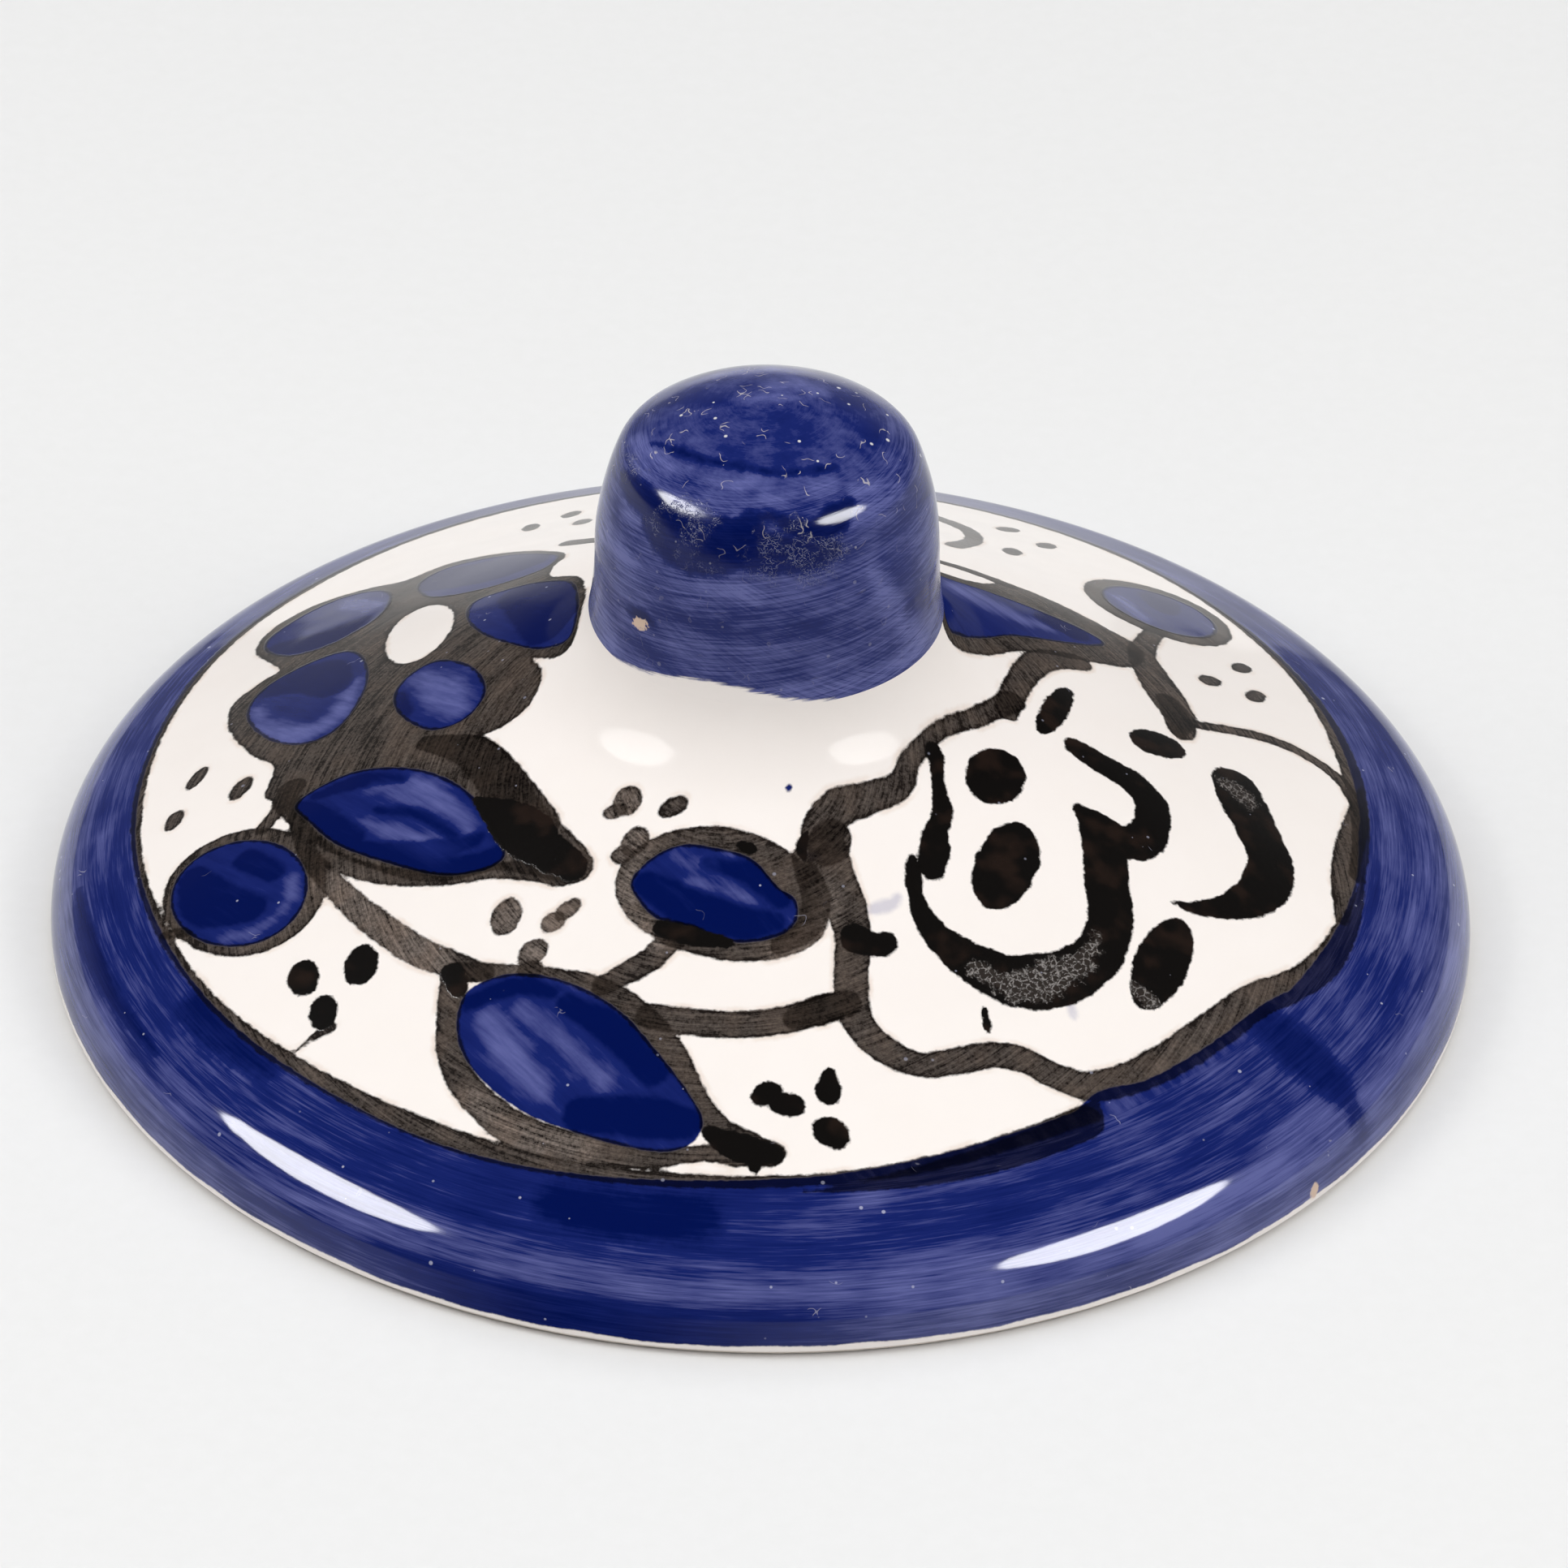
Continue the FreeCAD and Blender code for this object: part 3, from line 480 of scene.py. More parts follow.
KNOB_CRUST = (
    ((-94.0, 9.2, 1.4), (-88.0, 9.4, 2.8), (-80.0, 9.3, 3.0), (-72.0, 9.0, 2.4), (-64.0, 9.4, 1.4)),
    ((-92.0, 11.2, 0.7), (-84.0, 11.0, 1.0), (-79.0, 11.4, 0.7)),
    ((-120.0, 8.6, 0.8), (-117.0, 9.8, 1.6), (-118.0, 10.8, 1.4)),
    ((-131.0, 11.0, 0.8), (-124.0, 11.4, 1.2), (-117.0, 11.3, 1.0), (-111.0, 11.2, 0.6)),
    ((-138.0, 9.6, 0.8), (-134.0, 9.4, 1.4), (-133.0, 8.6, 0.8)),
    ((-114.0, 8.6, 0.5), (-107.0, 8.4, 0.4)),
    ((-172.0, 11.3, 0.5), (-160.0, 11.4, 0.6), (-152.0, 11.6, 0.5)),
)

# Pinhole in the knob's side: degrees, millimetres up, length, width, turn in degrees
KNOB_PINHOLE = (-136.0, 3.25, 1.25, 0.72, 20.0)

# Crown of the knob, seen from above
CROWN_COAT = (
    (
        (-6.6, -1.8, 0.2), (-5.4, -3.0, 0.35), (-4.2, -4.0, 0.4), (-2.8, -4.8, 0.35),
        (-1.0, -5.45, 0.4), (0.6, -5.65, 0.45), (2.2, -5.35, 0.45), (3.9, -4.7, 0.3),
    ),
)
CROWN_SHADE = (
    ((-6.2, 2.2, 1.2), (-4.4, 1.4, 1.6), (-3.0, 0.4, 0.8)),
    ((3.8, 1.6, 1.2), (5.6, 0.6, 1.8), (6.2, -1.4, 1.2)),
    ((0.4, -1.6, 1.2), (1.6, -2.6, 2.2), (1.4, -4.2, 1.2)),
    ((-4.0, 5.4, 1.0), (-0.6, 6.6, 1.4), (3.6, 5.6, 1.0)),
)
CROWN_THIN = (
    ((0.2, 1.6, 1.0), (1.6, 1.7, 1.8), (3.0, 1.7, 1.0)),
    ((-1.4, 0.2, 0.6), (0.0, 0.2, 1.0), (1.6, 0.4, 0.6)),
    ((1.5, -6.1, 0.7), (2.6, -6.1, 1.2), (3.4, -5.9, 0.6)),
    ((-0.2, -7.0, 0.5), (0.6, -7.05, 0.8), (1.4, -6.8, 0.4)),
    ((-7.6, -0.6, 0.5), (-7.0, -2.0, 1.0), (-6.2, -3.6, 0.8), (-4.8, -4.9, 0.6)),
    ((5.2, -4.0, 0.6), (5.8, -4.8, 1.0), (5.0, -5.6, 0.6)),
    ((-3.6, -5.6, 0.6), (-2.4, -6.0, 0.9), (-1.0, -6.2, 0.5)),
    ((-4.6, 4.0, 0.8), (-1.6, 4.4, 1.4), (1.8, 4.6, 0.8)),
)

# Chip in the rim: its bearing, millimetres of rim to a degree, and its oval on the rolled-out rim
CHIP_BEARING = -41.5
RIM_ROLL = 0.73
CHIP = (0.0, 1.25, 1.1, 0.7, 70.0)

# Millimetres of the knob's side to a degree
KNOB_ROLL = 0.166

# Lean of both skins at the joint of neck and knob, in radians
JOINT_LEAN = 0.07

# Edges that turn more than this are drawn sharp
SHARP_ANGLE = math.radians(50.0)

# Plain depth of blue, between one coat at a half and navy at 1
PLAIN_DEPTH = 0.6

# Turn of the brush marks in the leaves, and the middle that the painted glints in the black run round
LEAF_BRUSH_TURN = math.radians(-48.0)
GLINT_ARC_CENTRE = (-2.0, -10.0, 0.0)

# Glazes: how they bend light, and the depth of the paint's relief in millimetres
PAINTED_GLAZE_IOR = 1.48
CLEAR_GLAZE_IOR = 1.55
PAINT_DEPTH = 0.06

# Colours that the stain, the grains, the dust and the clay add to those a user may change
UNSTAINED = (1.0, 1.0, 1.0)
STAIN_FULL = srgb(30, 26, 24)
STAIN_THIN = srgb(150, 141, 135)
STAIN_ON_BLUE = srgb(128, 124, 128)
SECOND_STAIN = srgb(160, 155, 151)
BROWN_BLACK = srgb(44, 31, 25)
CREAM_GLAZE = srgb(241, 232, 225)
WARM_BLEED = srgb(206, 176, 150)
CRUST_BED = srgb(62, 55, 51)
LID_LINT = srgb(170, 168, 186)
LID_SPECK = srgb(190, 192, 214)
KNOB_CRUST_BED = srgb(52, 55, 92)
KNOB_CURL = srgb(118, 120, 150)
KNOB_LINT = srgb(198, 190, 186)
KNOB_SPECK = srgb(226, 224, 226)
CLAY_SHADE = srgb(216, 202, 188)
CLAY_SPECK = srgb(150, 120, 96)
POOLED_GLAZE = srgb(232, 220, 208)
IRON_SPECK = srgb(120, 104, 92)
PAPER_FIBRE = srgb(222, 222, 221)


def length_setting(name, description, default):
    """A length that a user may change."""
    return bpy.props.FloatProperty(name=name, description=description, default=default, unit="LENGTH")


def angle_setting(name, description, degrees):
    """An angle that a user may change."""
    angle = math.radians(degrees)
    return bpy.props.FloatProperty(name=name, description=description, default=angle, subtype="ANGLE")


def power_setting(name, description, watts):
    """A lamp's power that a user may change."""
    return bpy.props.FloatProperty(name=name, description=description, default=watts, subtype="POWER")


def colour_setting(name, description, *shown):
    """A colour that a user may change, given as it looks on screen."""
    colour = srgb(*shown)
    return bpy.props.FloatVectorProperty(
        name=name, description=description, default=colour, subtype="COLOR"
    )


class LidSizes(bpy.types.PropertyGroup):
    """Sizes of the lid's glazed top."""

    rim_radius: length_setting("Rim radius", "Widest radius of the glazed rim", lid_high.x)
    lip_height: length_setting(
        "Lip height", "Height at which the glaze stops above the bare lip", lid_low.z
    )
    seat_height: length_setting("Seat height", "Height of the joint between neck and knob", lid_high.z)
    rim_round: length_setting("Rim round", "Radius of the rolled rim", 4.7 * MM)
    rim_centre_height: length_setting("Rim centre height", "Height of the rolled rim's centre", 0.9 * MM)
    cone_angle: angle_setting("Cone angle", "Slope of the painted cone", 25.0)
    neck_round: length_setting("Neck round", "Radius of the hollow sweep up to the knob", 7.55 * MM)
    neck_radius: length_setting("Neck radius", "Radius of the neck at the knob's joint", 10.171 * MM)
    glaze_depth: length_setting("Glaze depth", "Thickness of the glaze skin", 0.3 * MM)
    hand_wobble: length_setting(
        "Hand wobble", "How far the surface strays from a true turning", 0.05 * MM
    )


class KnobSizes(bpy.types.PropertyGroup):
    """Sizes of the knob's glazed skin."""

    joint_height: length_setting("Joint height", "Height of the knob's lower edge", knob_low.z)
    top_height: length_setting("Top height", "Height of the knob's crown", knob_high.z)
    waist_radius: length_setting(
        "Waist radius", "Radius where the knob's side stands upright", 9.94 * MM
    )
    waist_height: length_setting("Waist height", "Height of that place", 25.844 * MM)
    side_round: length_setting("Side round", "Radius of the hollow side below it", 32.63 * MM)
    belly_round: length_setting("Belly round", "Radius of the full side above it", 16.6 * MM)
    belly_angle: angle_setting("Belly angle", "How far the side leans in before the shoulder", 21.9)
    shoulder_round: length_setting("Shoulder round", "Radius of the shoulder", 2.5 * MM)
    crown_round: length_setting("Crown round", "Radius of the crown", 13.4 * MM)


class PaintLook(bpy.types.PropertyGroup):
    """Colours of the glazes, the paint and the clay."""

    white_glaze: colour_setting("White glaze", "Ground under the painting", 246, 239, 234)
    blue_light: colour_setting("Thin blue", "Cobalt where the brush left little", 98, 103, 160)
    blue_middle: colour_setting("Cobalt blue", "Cobalt of one coat", 22, 35, 102)
    blue_dark: colour_setting("Navy blue", "Cobalt of two coats", 2, 16, 76)
    black_dense: colour_setting("Dense black", "Black where the brush was full", 15, 13, 12)
    crust: colour_setting("Crust", "Pale grains where the colour boiled in the kiln", 136, 130, 126)
    bare_clay: colour_setting("Bare clay", "Unglazed clay at the lip and foot", 243, 236, 229)
    chipped_clay: colour_setting("Chipped clay", "Clay in chips and pinholes", 214, 188, 168)


class StageLook(bpy.types.PropertyGroup):
    """Camera, lamps and floor."""

    camera_distance: length_setting(
        "Camera distance", "From the camera to the middle of the lid's foot", 0.45
    )
    camera_elevation: angle_setting("Camera elevation", "How far the camera looks down", 36.1)
    camera_roll: angle_setting("Camera roll", "How far the picture is turned clockwise", 1.1)
    camera_lens: bpy.props.FloatProperty(
        name="Lens", description="Focal length on a 36 mm sensor, in millimetres", default=173.9
    )
    lamp_power: power_setting("Lamp power", "Each softbox, in watts", 0.85)
    gloss_power: power_setting(
        "Gloss power", "What each softbox adds to the glaze's reflections, in watts", 4.2
    )
    fill_power: power_setting("Fill power", "Wide soft light from above, in watts", 109.0)
    floor: colour_setting("Floor", "Pale paper under the lid", 229, 229, 229)


class PotLid(bpy.types.PropertyGroup):
    """Everything about the lid that a user may change."""

    lid: bpy.props.PointerProperty(type=LidSizes)
    knob: bpy.props.PointerProperty(type=KnobSizes)
    look: bpy.props.PointerProperty(type=PaintLook)
    stage: bpy.props.PointerProperty(type=StageLook)


class Socket:
    """An output of a node. Arithmetic on it adds the Math or Vector Math node for it."""

    def __init__(self, bench, output):
        self.bench = bench
        self.output = output
        self.is_vector = output.type in {"VECTOR", "RGBA"}

    def combine(self, operation, first, second):
        """Joins two values, either of which may be a number, three numbers or a socket."""
        parts = (first, second)
        vector = any(isinstance(p, tuple) or getattr(p, "is_vector", False) for p in parts)
        if not vector:
            return self.bench.node("ShaderNodeMath", {"operation": operation}, {0: first, 1: second})
        spread_parts = [(p,) * 3 if isinstance(p, (int, float)) else p for p in parts]
        inputs = dict(enumerate(spread_parts))
        return self.bench.node("ShaderNodeVectorMath", {"operation": operation}, inputs)

    def __add__(self, other):
        return self.combine("ADD", self, other)

    def __radd__(self, other):
        return self.combine("ADD", other, self)

    def __sub__(self, other):
        return self.combine("SUBTRACT", self, other)

    def __rsub__(self, other):
        return self.combine("SUBTRACT", other, self)

    def __mul__(self, other):
        return self.combine("MULTIPLY", self, other)

    def __truediv__(self, other):
        return self.combine("DIVIDE", self, other)


class Bench:
    """A new material or world and the methods that add nodes to it."""

    def __init__(self, shelf, name):
        self.owner = shelf.new(name)
        self.owner.use_nodes = True
        self.tree = self.owner.node_tree
        self.tree.nodes.clear()

    def node(self, kind, settings=None, inputs=None, output=0):
        """Adds a node, sets it up, then gives its sockets their values or links. Returns one output."""
        made = self.tree.nodes.new(kind)
        for name, value in (settings or {}).items():
            setattr(made, name, value)
        for name, value in (inputs or {}).items():
            if isinstance(value, Socket):
                self.tree.links.new(value.output, made.inputs[name])
            else:
                made.inputs[name].default_value = value
        return Socket(self, made.outputs[output]) if made.outputs else made

    def field(self, name):
        """A number that the mesh carries at each vertex."""
        return self.node("ShaderNodeAttribute", {"attribute_name": name}, None, "Fac")

    def millimetres(self):
        """The place on the piece, in millimetres."""
        return self.node("ShaderNodeTexCoord", None, None, "Object") * 1000.0

    def finish(self, surface, kind="ShaderNodeOutputMaterial"):
        """Ends the tree in this surface and returns the material or world."""
        self.node(kind, None, {"Surface": surface})
        return self.owner


def step(value, low, high, start=0.0, end=1.0):
    """Runs smoothly from the start at low to the end at high."""
    limits = {"Value": value, "From Min": low, "From Max": high, "To Min": start, "To Max": end}
    return value.bench.node("ShaderNodeMapRange", {"interpolation_type": "SMOOTHSTEP"}, limits)


def within(value, low, high):
    """Runs smoothly from 1 at low to 0 at high, so it is 1 inside the edge of a distance field."""
    return 1.0 - step(value, low, high)


def either(first, second):
    """1 where either of two shares is 1."""
    return first + second - first * second


def mix(factor, first, second):
    """First colour where the factor is 0, second colour where it is 1."""
    ends = [tuple(c) + (1.0,) if not isinstance(c, Socket) else c for c in (first, second)]
    colours = {0: factor, 6: ends[0], 7: ends[1]}
    return factor.bench.node("ShaderNodeMix", {"data_type": "RGBA"}, colours, 2)


def grain(vector, scale, detail, roughness):
    """Even noise, 0 to 1, with this many lumps to a unit of the vector."""
    sockets = {"Vector": vector, "Scale": scale, "Detail": detail, "Roughness": roughness}
    return vector.bench.node("ShaderNodeTexNoise", None, sockets)


def swing(vector, scale, detail, roughness):
    """The same noise about 0."""
    return grain(vector, scale, detail, roughness) - 0.5


def length(vector):
    """Length of a vector."""
    return vector.bench.node("ShaderNodeVectorMath", {"operation": "LENGTH"}, {0: vector}, "Value")


def direction(vector):
    """A vector cut to length 1."""
    return vector.bench.node("ShaderNodeVectorMath", {"operation": "NORMALIZE"}, {0: vector})


def part_along(vector, axis):
    """Part of a vector along one axis."""
    return vector.bench.node("ShaderNodeSeparateXYZ", None, {0: vector}, axis)


def turning_marks(place, along, across):
    """A vector for noise that lies in fine lines round the axis.

    The direction from the axis gives the slow part and height less radius gives the quick part.
    """
    flat = place * FLAT
    climb = part_along(place, "Z") - length(flat)
    return direction(flat) * along + (climb * across) * UPRIGHT


def brushed_blue(look, depth):
    """Cobalt from thin periwinkle at depth 0 over one coat at a half to navy at 1."""
    thin = mix(depth * 2.0, look.blue_light, look.blue_middle)
    return mix(depth * 2.0 - 1.0, thin, look.blue_dark)


def scatter(place, scale, share):
    """Cells of a scatter: way to the cell's middle, 1 in this share of the cells, and a chance."""
    cells = {"Vector": place, "Scale": scale}
    bench = place.bench
    near = bench.node("ShaderNodeTexVoronoi", {"feature": "F1"}, cells, "Distance")
    colour = bench.node("ShaderNodeTexVoronoi", {"feature": "F1"}, cells, "Color")
    first, second = (bench.node("ShaderNodeSeparateColor", None, {0: colour}, n) for n in (0, 1))
    return near, step(first, 1.0 - share, 1.02 - share), second


def pale_specks(place, scale, share, size):
    """Tiny dots up to this size, one in some of the cells of a scatter."""
    near, chosen, chance = scatter(place, scale, share)
    return within(near / (chance * 0.8 + 0.4), size * 0.6, size) * chosen


def curl_lines(place, scale, low, high):
    """Fine curly lines: where a noise passes its middle."""
    off = swing(place, scale, 1.0, 0.4)
    gap = place.bench.node("ShaderNodeMath", {"operation": "ABSOLUTE"}, {0: off})
    return within(gap, low, high)


def lint(place, share):
    """Short curly hairs: curly lines kept near the middle of some cells of a scatter."""
    near, chosen, _ = scatter(place, 0.9, share)
    return curl_lines(place, 1.1, 0.006, 0.014) * (chosen * within(near, 0.35, 0.45))


def relief(height, strength, depth):
    """Bumps of this depth, in millimetres, where the height is 1."""
    sockets = {"Strength": strength, "Distance": depth * MM, "Height": height}
    return height.bench.node("ShaderNodeBump", None, sockets)


def painted_glaze(colour, roughness, height, quiet_share, quiet_level):
    """A glossy glaze that gives way, by the quiet share, to one that reflects less."""
    bench = colour.bench
    skin = {
        "Base Color": colour,
        "Roughness": roughness,
        "IOR": PAINTED_GLAZE_IOR,
        "Normal": relief(height, 0.35, PAINT_DEPTH),
    }
    glossy = bench.node("ShaderNodeBsdfPrincipled", None, skin)
    quiet = bench.node("ShaderNodeBsdfPrincipled", None, skin | {"Specular IOR Level": quiet_level})
    return bench.finish(bench.node("ShaderNodeMixShader", None, {0: quiet_share, 1: glossy, 2: quiet}))


def lid_paint(look):
    """White glaze under cobalt and black brushwork.

    Each paint is on where its distance field, roughened by fine noise, is below 0. Black is a stain
    that multiplies what lies under it, so two passes or black over blue come out darker.
    """
    bench = Bench(bpy.data.materials, "painted_lid_glaze")
    place = bench.millimetres()
    rag = swing(place, 1.5, 4.0, 0.65) * 0.32
    soft_rag = swing(place, 0.6, 3.0, 0.5) * 0.3

    # Blue
    lines = turning_marks(place, 9.0, 1.0)
    fine_lines = grain(lines * (1.0, 1.0, 5.6), 1.0, 4.0, 0.68)
    broad_lines = swing(lines * (0.4, 0.4, 0.8), 1.0, 3.0, 0.6)
    turned = {"Vector": place, "Rotation": (0.0, 0.0, LEAF_BRUSH_TURN), "Scale": (6.0, 0.55, 1.0)}
    brushed = bench.node("ShaderNodeMapping", {"vector_type": "TEXTURE"}, turned)
    clouds = grain(place, 0.28, 2.0, 0.5)
    from_band = place - (BAND_CENTRE[0], BAND_CENTRE[1], 0.0)
    on_band = step(length(from_band * FLAT), BAND_RADIUS - 0.15, BAND_RADIUS + 0.35)
    band_lines = fine_lines - 0.5 + broad_lines * 0.9
    fill_lines = swing(brushed, 1.0, 4.0, 0.6) * 0.7
    streak = fill_lines + (band_lines - fill_lines) * on_band
    coat = within(bench.field("coat") + rag * 1.2, -0.25, 0.25)
    thin = within(bench.field("thin") + soft_rag * 2.0, -0.8, 0.7)
    depth = streak + (clouds - 0.5) * 0.4 + coat * 0.46 - thin * 0.4 + bench.field("depth")
    blue = brushed_blue(look, depth)
    blue_on = within(bench.field("blue") + rag * 0.6, -0.07, 0.07)
    smudge = within(bench.field("smudge") + rag, -0.2, 0.25) * 0.35

    # Black stain, with painted glints in it
    # Painted glints: the black is lighter in fine arcs round one middle, as if scratches caught the
    # lamps
    glint_arc_place = (place - GLINT_ARC_CENTRE) * FLAT
    glint_arcs = direction(glint_arc_place) * 5.0 + length(glint_arc_place) * UPRIGHT
    scratch_glints = swing(glint_arcs * (1.0, 1.0, 5.6), 1.0, 3.0, 0.7)
    pools = grain(place, 0.45, 2.0, 0.5)
    sand = grain(place, 4.6, 3.0, 0.75)
    dry = within(bench.field("dry") + soft_rag * 2.0, -0.6, 0.6)
    bristles_and_glints = (scratch_glints * 0.9 + (sand - 0.5) * 0.7) * (1.0 + dry)
    load_and_glints = bristles_and_glints + (pools - 0.5) * 0.5 + dry * 0.25 + 0.18
    wash_edge = bench.field("wash") + rag * 1.1
    wash_on = within(wash_edge, -0.09, 0.07)
    wet_rim = step(wash_edge, -0.36, -0.06)
    stain = mix(load_and_glints - wet_rim * 0.16, STAIN_FULL, STAIN_THIN)
    veil = mix(blue_on * 0.85, stain, STAIN_ON_BLUE)
    twice_on = within(bench.field("twice") + rag * 0.8, -0.1, 0.1)
    dense_on = within(bench.field("dense") + rag * 1.5 + soft_rag * 0.8, -0.08, 0.07)

    # Grains in the black
    patch = swing(place, 0.9, 4.0, 0.7) * 2.4
    crust = within(bench.field("crust") + patch, -0.3, 0.2) * dense_on
    cells = {"Vector": place + (sand - 0.5) * (0.5, 0.5, 0.5), "Scale": 2.8}
    seams = bench.node("ShaderNodeTexVoronoi", {"feature": "DISTANCE_TO_EDGE"}, cells, "Distance")
    grains = within(seams, 0.02, 0.12) * step(sand, 0.42, 0.58) * crust

    # Colour
    ground = mix((clouds - 0.35) * 0.5, look.white_glaze, CREAM_GLAZE)
    bleed = within(wash_edge, 0.05, 0.35) * step(pools, 0.4, 0.65) * 0.3
    warmed = mix(bleed, ground, WARM_BLEED)
    touched = mix(smudge, warmed, look.blue_light)
    painted = mix(blue_on, touched, blue)
    stained = painted * mix(wash_on, UNSTAINED, veil)
    passed = stained * mix(twice_on, UNSTAINED, SECOND_STAIN)
    black = mix(step(pools, 0.5, 0.7) * 0.5, look.black_dense, BROWN_BLACK)
    inked = mix(dense_on, passed, black)
    crusted = mix(crust * 0.5, inked, CRUST_BED)
    grained = mix(grains * 0.9, crusted, look.crust)
    black_on = either(wash_on, dense_on)
    dark_on = either(blue_on, black_on)
    specks = pale_specks(place, 0.8, 0.5, 0.1) * (dark_on - black_on * 0.5)
    hairs = lint(place, 0.025) * dark_on
    linted = mix(hairs * 0.5, grained, LID_LINT)
    specked = mix(specks * 0.6, linted, LID_SPECK)
    chip = within(bench.field("chip") + rag, -0.1, 0.1)
    colour = mix(chip, specked, look.chipped_clay)

    # Gloss and relief
    quiet_share = bench.field("quiet")
    worn = grains * 0.4 + chip * 0.5 + sand * black_on * 0.06 + quiet_share * 0.04
    roughness = 0.07 + black_on * 0.07 + worn
    ripple = grain(place, 0.35, 1.0, 0.4)
    laid = blue_on * 0.3 + wash_on * 0.25 + dense_on * 0.4 + grains * 1.6 + sand * dense_on * 0.5
    height = laid + ripple + fine_lines * blue_on * 0.04 - chip * 2.0
    return painted_glaze(colour, roughness, height, quiet_share, quiet_level=0.0)


def knob_paint(look):
    """Cobalt brushed round the knob, with a navy belt, a clouded crown, grains, lint and one pinhole."""
    bench = Bench(bpy.data.materials, "painted_knob_glaze")
    place = bench.millimetres()
    crown = bench.field("crown")
    rag = swing(place, 1.3, 4.0, 0.65) * 0.5
    soft_rag = swing(place, 0.5, 4.0, 0.6) * 2.0

    # Brush marks
    lines = turning_marks(place, 2.4, 1.0)
    slant = part_along(place, "X") * (0.0, 0.0, 0.16)
    fine_lines = grain((lines - slant) * (1.1, 1.1, 8.0), 1.0, 3.0, 0.7)
    scratches = swing((lines + slant * 4.0) * (2.0, 2.0, 7.0), 1.0, 2.0, 0.6)
    broad_lines = swing((lines - slant) * (0.7, 0.7, 0.8), 1.0, 3.0, 0.55)
    clouds = swing(place, 0.3, 3.0, 0.6)
    mottle = grain(place, 0.9, 4.0, 0.65)

    # Blue
    coat = within(bench.field("coat") + rag * 1.6, -0.35, 0.25)
    shade = within(bench.field("shade") + soft_rag * 0.6, -0.9, 0.7)
    thin = within(bench.field("thin") + soft_rag * 0.6, -0.6, 0.7)
    brushed = (fine_lines - 0.5) * 1.2 + scratches * (0.4 + thin * 0.5) + broad_lines * 0.5
    cloudy = clouds * 0.5 + (mottle - 0.5) * (0.15 + crown * 0.45)
    streak = brushed * (1.0 - crown * 0.8) * (1.0 - coat * 0.4) + cloudy
    depth = streak + coat * 0.6 + shade * 0.16 - thin * 0.26 + bench.field("depth")
    blue = brushed_blue(look, depth)
    blue_on = within(bench.field("blue") + rag * 0.5 + (fine_lines - 0.5) * 0.7, -0.12, 0.12)

    # Grains, dust and the pinhole
    patch = swing(place, 0.8, 4.0, 0.7) * 3.0
    crust = within(bench.field("crust") + patch, -0.4, 0.4)
    curls = curl_lines(place, 5.6, 0.015, 0.05) * crust * step(mottle, 0.42, 0.56)
    dusty = bench.field("dusty")
    specks = pale_specks(place, 1.0, 0.55, 0.14) * dusty
    hairs = lint(place, 0.45) * dusty
    hole = within(bench.field("pinhole") + swing(place, 3.4, 3.0, 0.6) * 0.9, -0.1, 0.04)

    # Colour, gloss and relief
    painted = mix(blue_on, look.white_glaze, blue)
    crusted = mix(crust * 0.16, painted, KNOB_CRUST_BED)
    curled = mix(curls * 0.42, crusted, KNOB_CURL)
    linted = mix(hairs * 0.6, curled, KNOB_LINT)
    specked = mix(specks * 0.85, linted, KNOB_SPECK)
    colour = mix(hole, specked, look.chipped_clay)
    roughness = 0.08 + fine_lines * 0.05 + crust * 0.06 + curls * 0.14 + hole * 0.5 + hairs * 0.4
    ripple = grain(place, 0.4, 1.0, 0.4)
    laid = blue_on * 0.4 + curls * 1.4 + fine_lines * 0.15 + specks * 0.8
    height = laid + ripple * 1.5 - hole * 2.5
    return painted_glaze(colour, roughness, height, (1.0 - dusty) * 0.8, quiet_level=0.1)


def clay(look):
    """Bare fired clay: warm, matt, with fine grog, turning marks and a few dark specks."""
    bench = Bench(bpy.data.materials, "bare_clay")
    place = bench.millimetres()
    grog = grain(place, 2.6, 4.0, 0.7)
    marks = grain(turning_marks(place, 3.0, 1.6), 1.0, 3.0, 0.6)
    warm = mix(grog * 0.5 + marks * 0.4 - 0.1, look.bare_clay, CLAY_SHADE)
    colour = mix(pale_specks(place, 0.45, 0.35, 0.09) * 0.6, warm, CLAY_SPECK)
    bump = relief(grog + marks * 1.5, 0.5, 0.08)
    skin = {"Base Color": colour, "Roughness": 0.75 + grog * 0.15, "Normal": bump}
    return bench.finish(bench.node("ShaderNodeBsdfPrincipled", None, skin))


def inside_glaze(look):
    """Clear glaze over clay inside the lid: cream white and glossy, with soft pooling and pin specks."""
    bench = Bench(bpy.data.materials, "inside_glaze")
    place = bench.millimetres()
    pools = grain(turning_marks(place, 1.5, 0.35), 1.0, 3.0, 0.5)
    pooled = mix(pools * 0.9 - 0.1, look.white_glaze, POOLED_GLAZE)
    colour = mix(pale_specks(place, 0.3, 0.35, 0.09) * 0.5, pooled, IRON_SPECK)
    bump = relief(grain(place, 0.3, 2.0, 0.5), 0.4, 0.1)
    roughness = 0.1 + pools * 0.08
    skin = {"Base Color": colour, "Roughness": roughness, "IOR": CLEAR_GLAZE_IOR, "Normal": bump}
    return bench.finish(bench.node("ShaderNodeBsdfPrincipled", None, skin))


